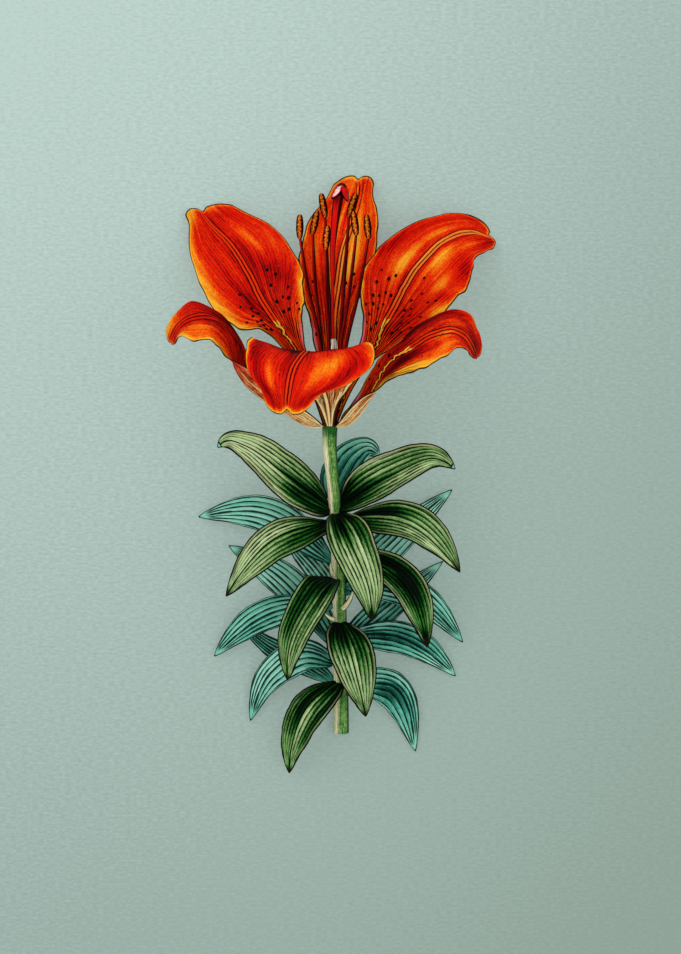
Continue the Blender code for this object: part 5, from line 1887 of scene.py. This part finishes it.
def floor_paper(settings):
    """Sage paper over a light table: fibrous, lighter to the upper left, with a soft glow of its own."""
    made, n = new_finish("Sage Floor")
    parts = n.node("SeparateXYZ")
    n.feed(parts.inputs[0], n.place())
    right, ahead = parts.outputs[:2]
    fibre = n.noise(n.vector(n.times(right, 480.0), n.times(ahead, 1100.0)), 1.0, 2.0, 0.7)
    # Painted light: the tints run from light at the upper left to dark at the lower right.
    slope = n.math("ADD", n.math("SUBTRACT", right, ahead), FLOOR_SLOPE)
    tint = n.ramp(n.stirred(n.times(slope, 0.5 / FLOOR_SLOPE), (fibre, 0.8)), settings,
                  light=0.0, mild=0.42, dim=0.63, dark=1.0)
    n.skin(tint, 0.9, fibre, bump=0.05, gloss=0.02)
    shader = n.tree.nodes["Principled BSDF"]
    n.feed(shader.inputs["Base Color"], n.mix(settings.glow, tint, (0.0, 0.0, 0.0)))
    # The paper glows a little more round the lily, whose soft shadow would darken it there.
    away = n.math("SQRT", n.plus(n.times(right, right), n.times(ahead, ahead), 0.4))
    lifted = n.node("VectorMath", operation="SCALE")
    n.feed(lifted.inputs[0], tint)
    n.feed(lifted.inputs["Scale"], n.span(away, *GLOW_RINGS, 1.0, GLOW_LIFT))
    n.feed(shader.inputs["Emission Color"], lifted.outputs[0])
    shader.inputs["Emission Strength"].default_value = settings.glow
    return made


class LILY_OT_stage(bpy.types.Operator):
    """Lay the floor, hang the lamps and aim the camera"""

    bl_idname = "lily.stage"
    bl_label = "Stage"

    def execute(self, context):
        settings = context.scene.lily_stage
        bpy.ops.object.select_all(action="DESELECT")
        bpy.ops.mesh.primitive_plane_add(size=FLOOR_SIZE)
        floor = context.object
        floor.name = "floor"
        floor.data.materials.append(floor_paper(settings))
        world = bpy.data.worlds.new("Soft Fill")
        context.scene.world = world
        world.use_nodes = True
        sky = world.node_tree.nodes["Background"]
        sky.inputs["Color"].default_value = SKY
        sky.inputs["Strength"].default_value = settings.fill
        for name, spot in LAMPS.items():
            bpy.ops.object.light_add(type="AREA", location=spot)
            lamp = context.object
            lamp.name = name
            lamp.data.shape = "DISK"
            lamp.data.size = LAMP_SIZE
            lamp.data.energy = settings.lamp
            lamp.rotation_euler = mathutils.Vector(spot).to_track_quat("Z", "Y").to_euler()
        bpy.ops.object.camera_add(location=to_frame((*PHOTO_AIM, CAMERA_HEIGHT)))
        camera = context.object
        camera.name = "photo_camera"
        camera.data.lens = LENS
        camera.data.sensor_width = FILM_WIDTH
        camera.data.clip_end = CAMERA_REACH
        context.scene.camera = camera
        context.scene.view_settings.view_transform = "Standard"
        return {"FINISHED"}


class LILY_PT_panel(bpy.types.Panel):
    """The lily's pieces and their measures, in the 3D view's sidebar"""

    bl_idname = "LILY_PT_panel"
    bl_label = "Tiger Lily"
    bl_space_type = "VIEW_3D"
    bl_region_type = "UI"
    bl_category = "Lily"

    def draw(self, context):
        for operator in OPERATORS:
            self.layout.operator(operator.bl_idname)
        for name in SETTINGS:
            box = self.layout.box()
            group = getattr(context.scene, name)
            for label in group.bl_rna.properties.keys():
                if label not in {"rna_type", "name"}:
                    box.prop(group, label)


SETTINGS = {
    "lily_stem": StemSettings,
    "lily_leaves": LeafSettings,
    "lily_tepals": TepalSettings,
    "lily_heart": HeartSettings,
    "lily_stage": StageSettings,
}
OPERATORS = (
    LILY_OT_stem, LILY_OT_leaves, LILY_OT_tepals, LILY_OT_pistil, LILY_OT_stamens, LILY_OT_stage,
)


def register():
    for made in (*SETTINGS.values(), *OPERATORS, LILY_PT_panel):
        bpy.utils.register_class(made)
    for name, group in SETTINGS.items():
        setattr(bpy.types.Scene, name, bpy.props.PointerProperty(type=group))


def unregister():
    for name in SETTINGS:
        delattr(bpy.types.Scene, name)
    for made in reversed((*SETTINGS.values(), *OPERATORS, LILY_PT_panel)):
        bpy.utils.unregister_class(made)


def main():
    register()
    bpy.ops.lily.stem()
    bpy.ops.lily.leaves()
    bpy.ops.lily.tepals()
    bpy.ops.lily.pistil()
    bpy.ops.lily.stamens()
    bpy.ops.lily.stage()


if __name__ == "__main__":
    main()
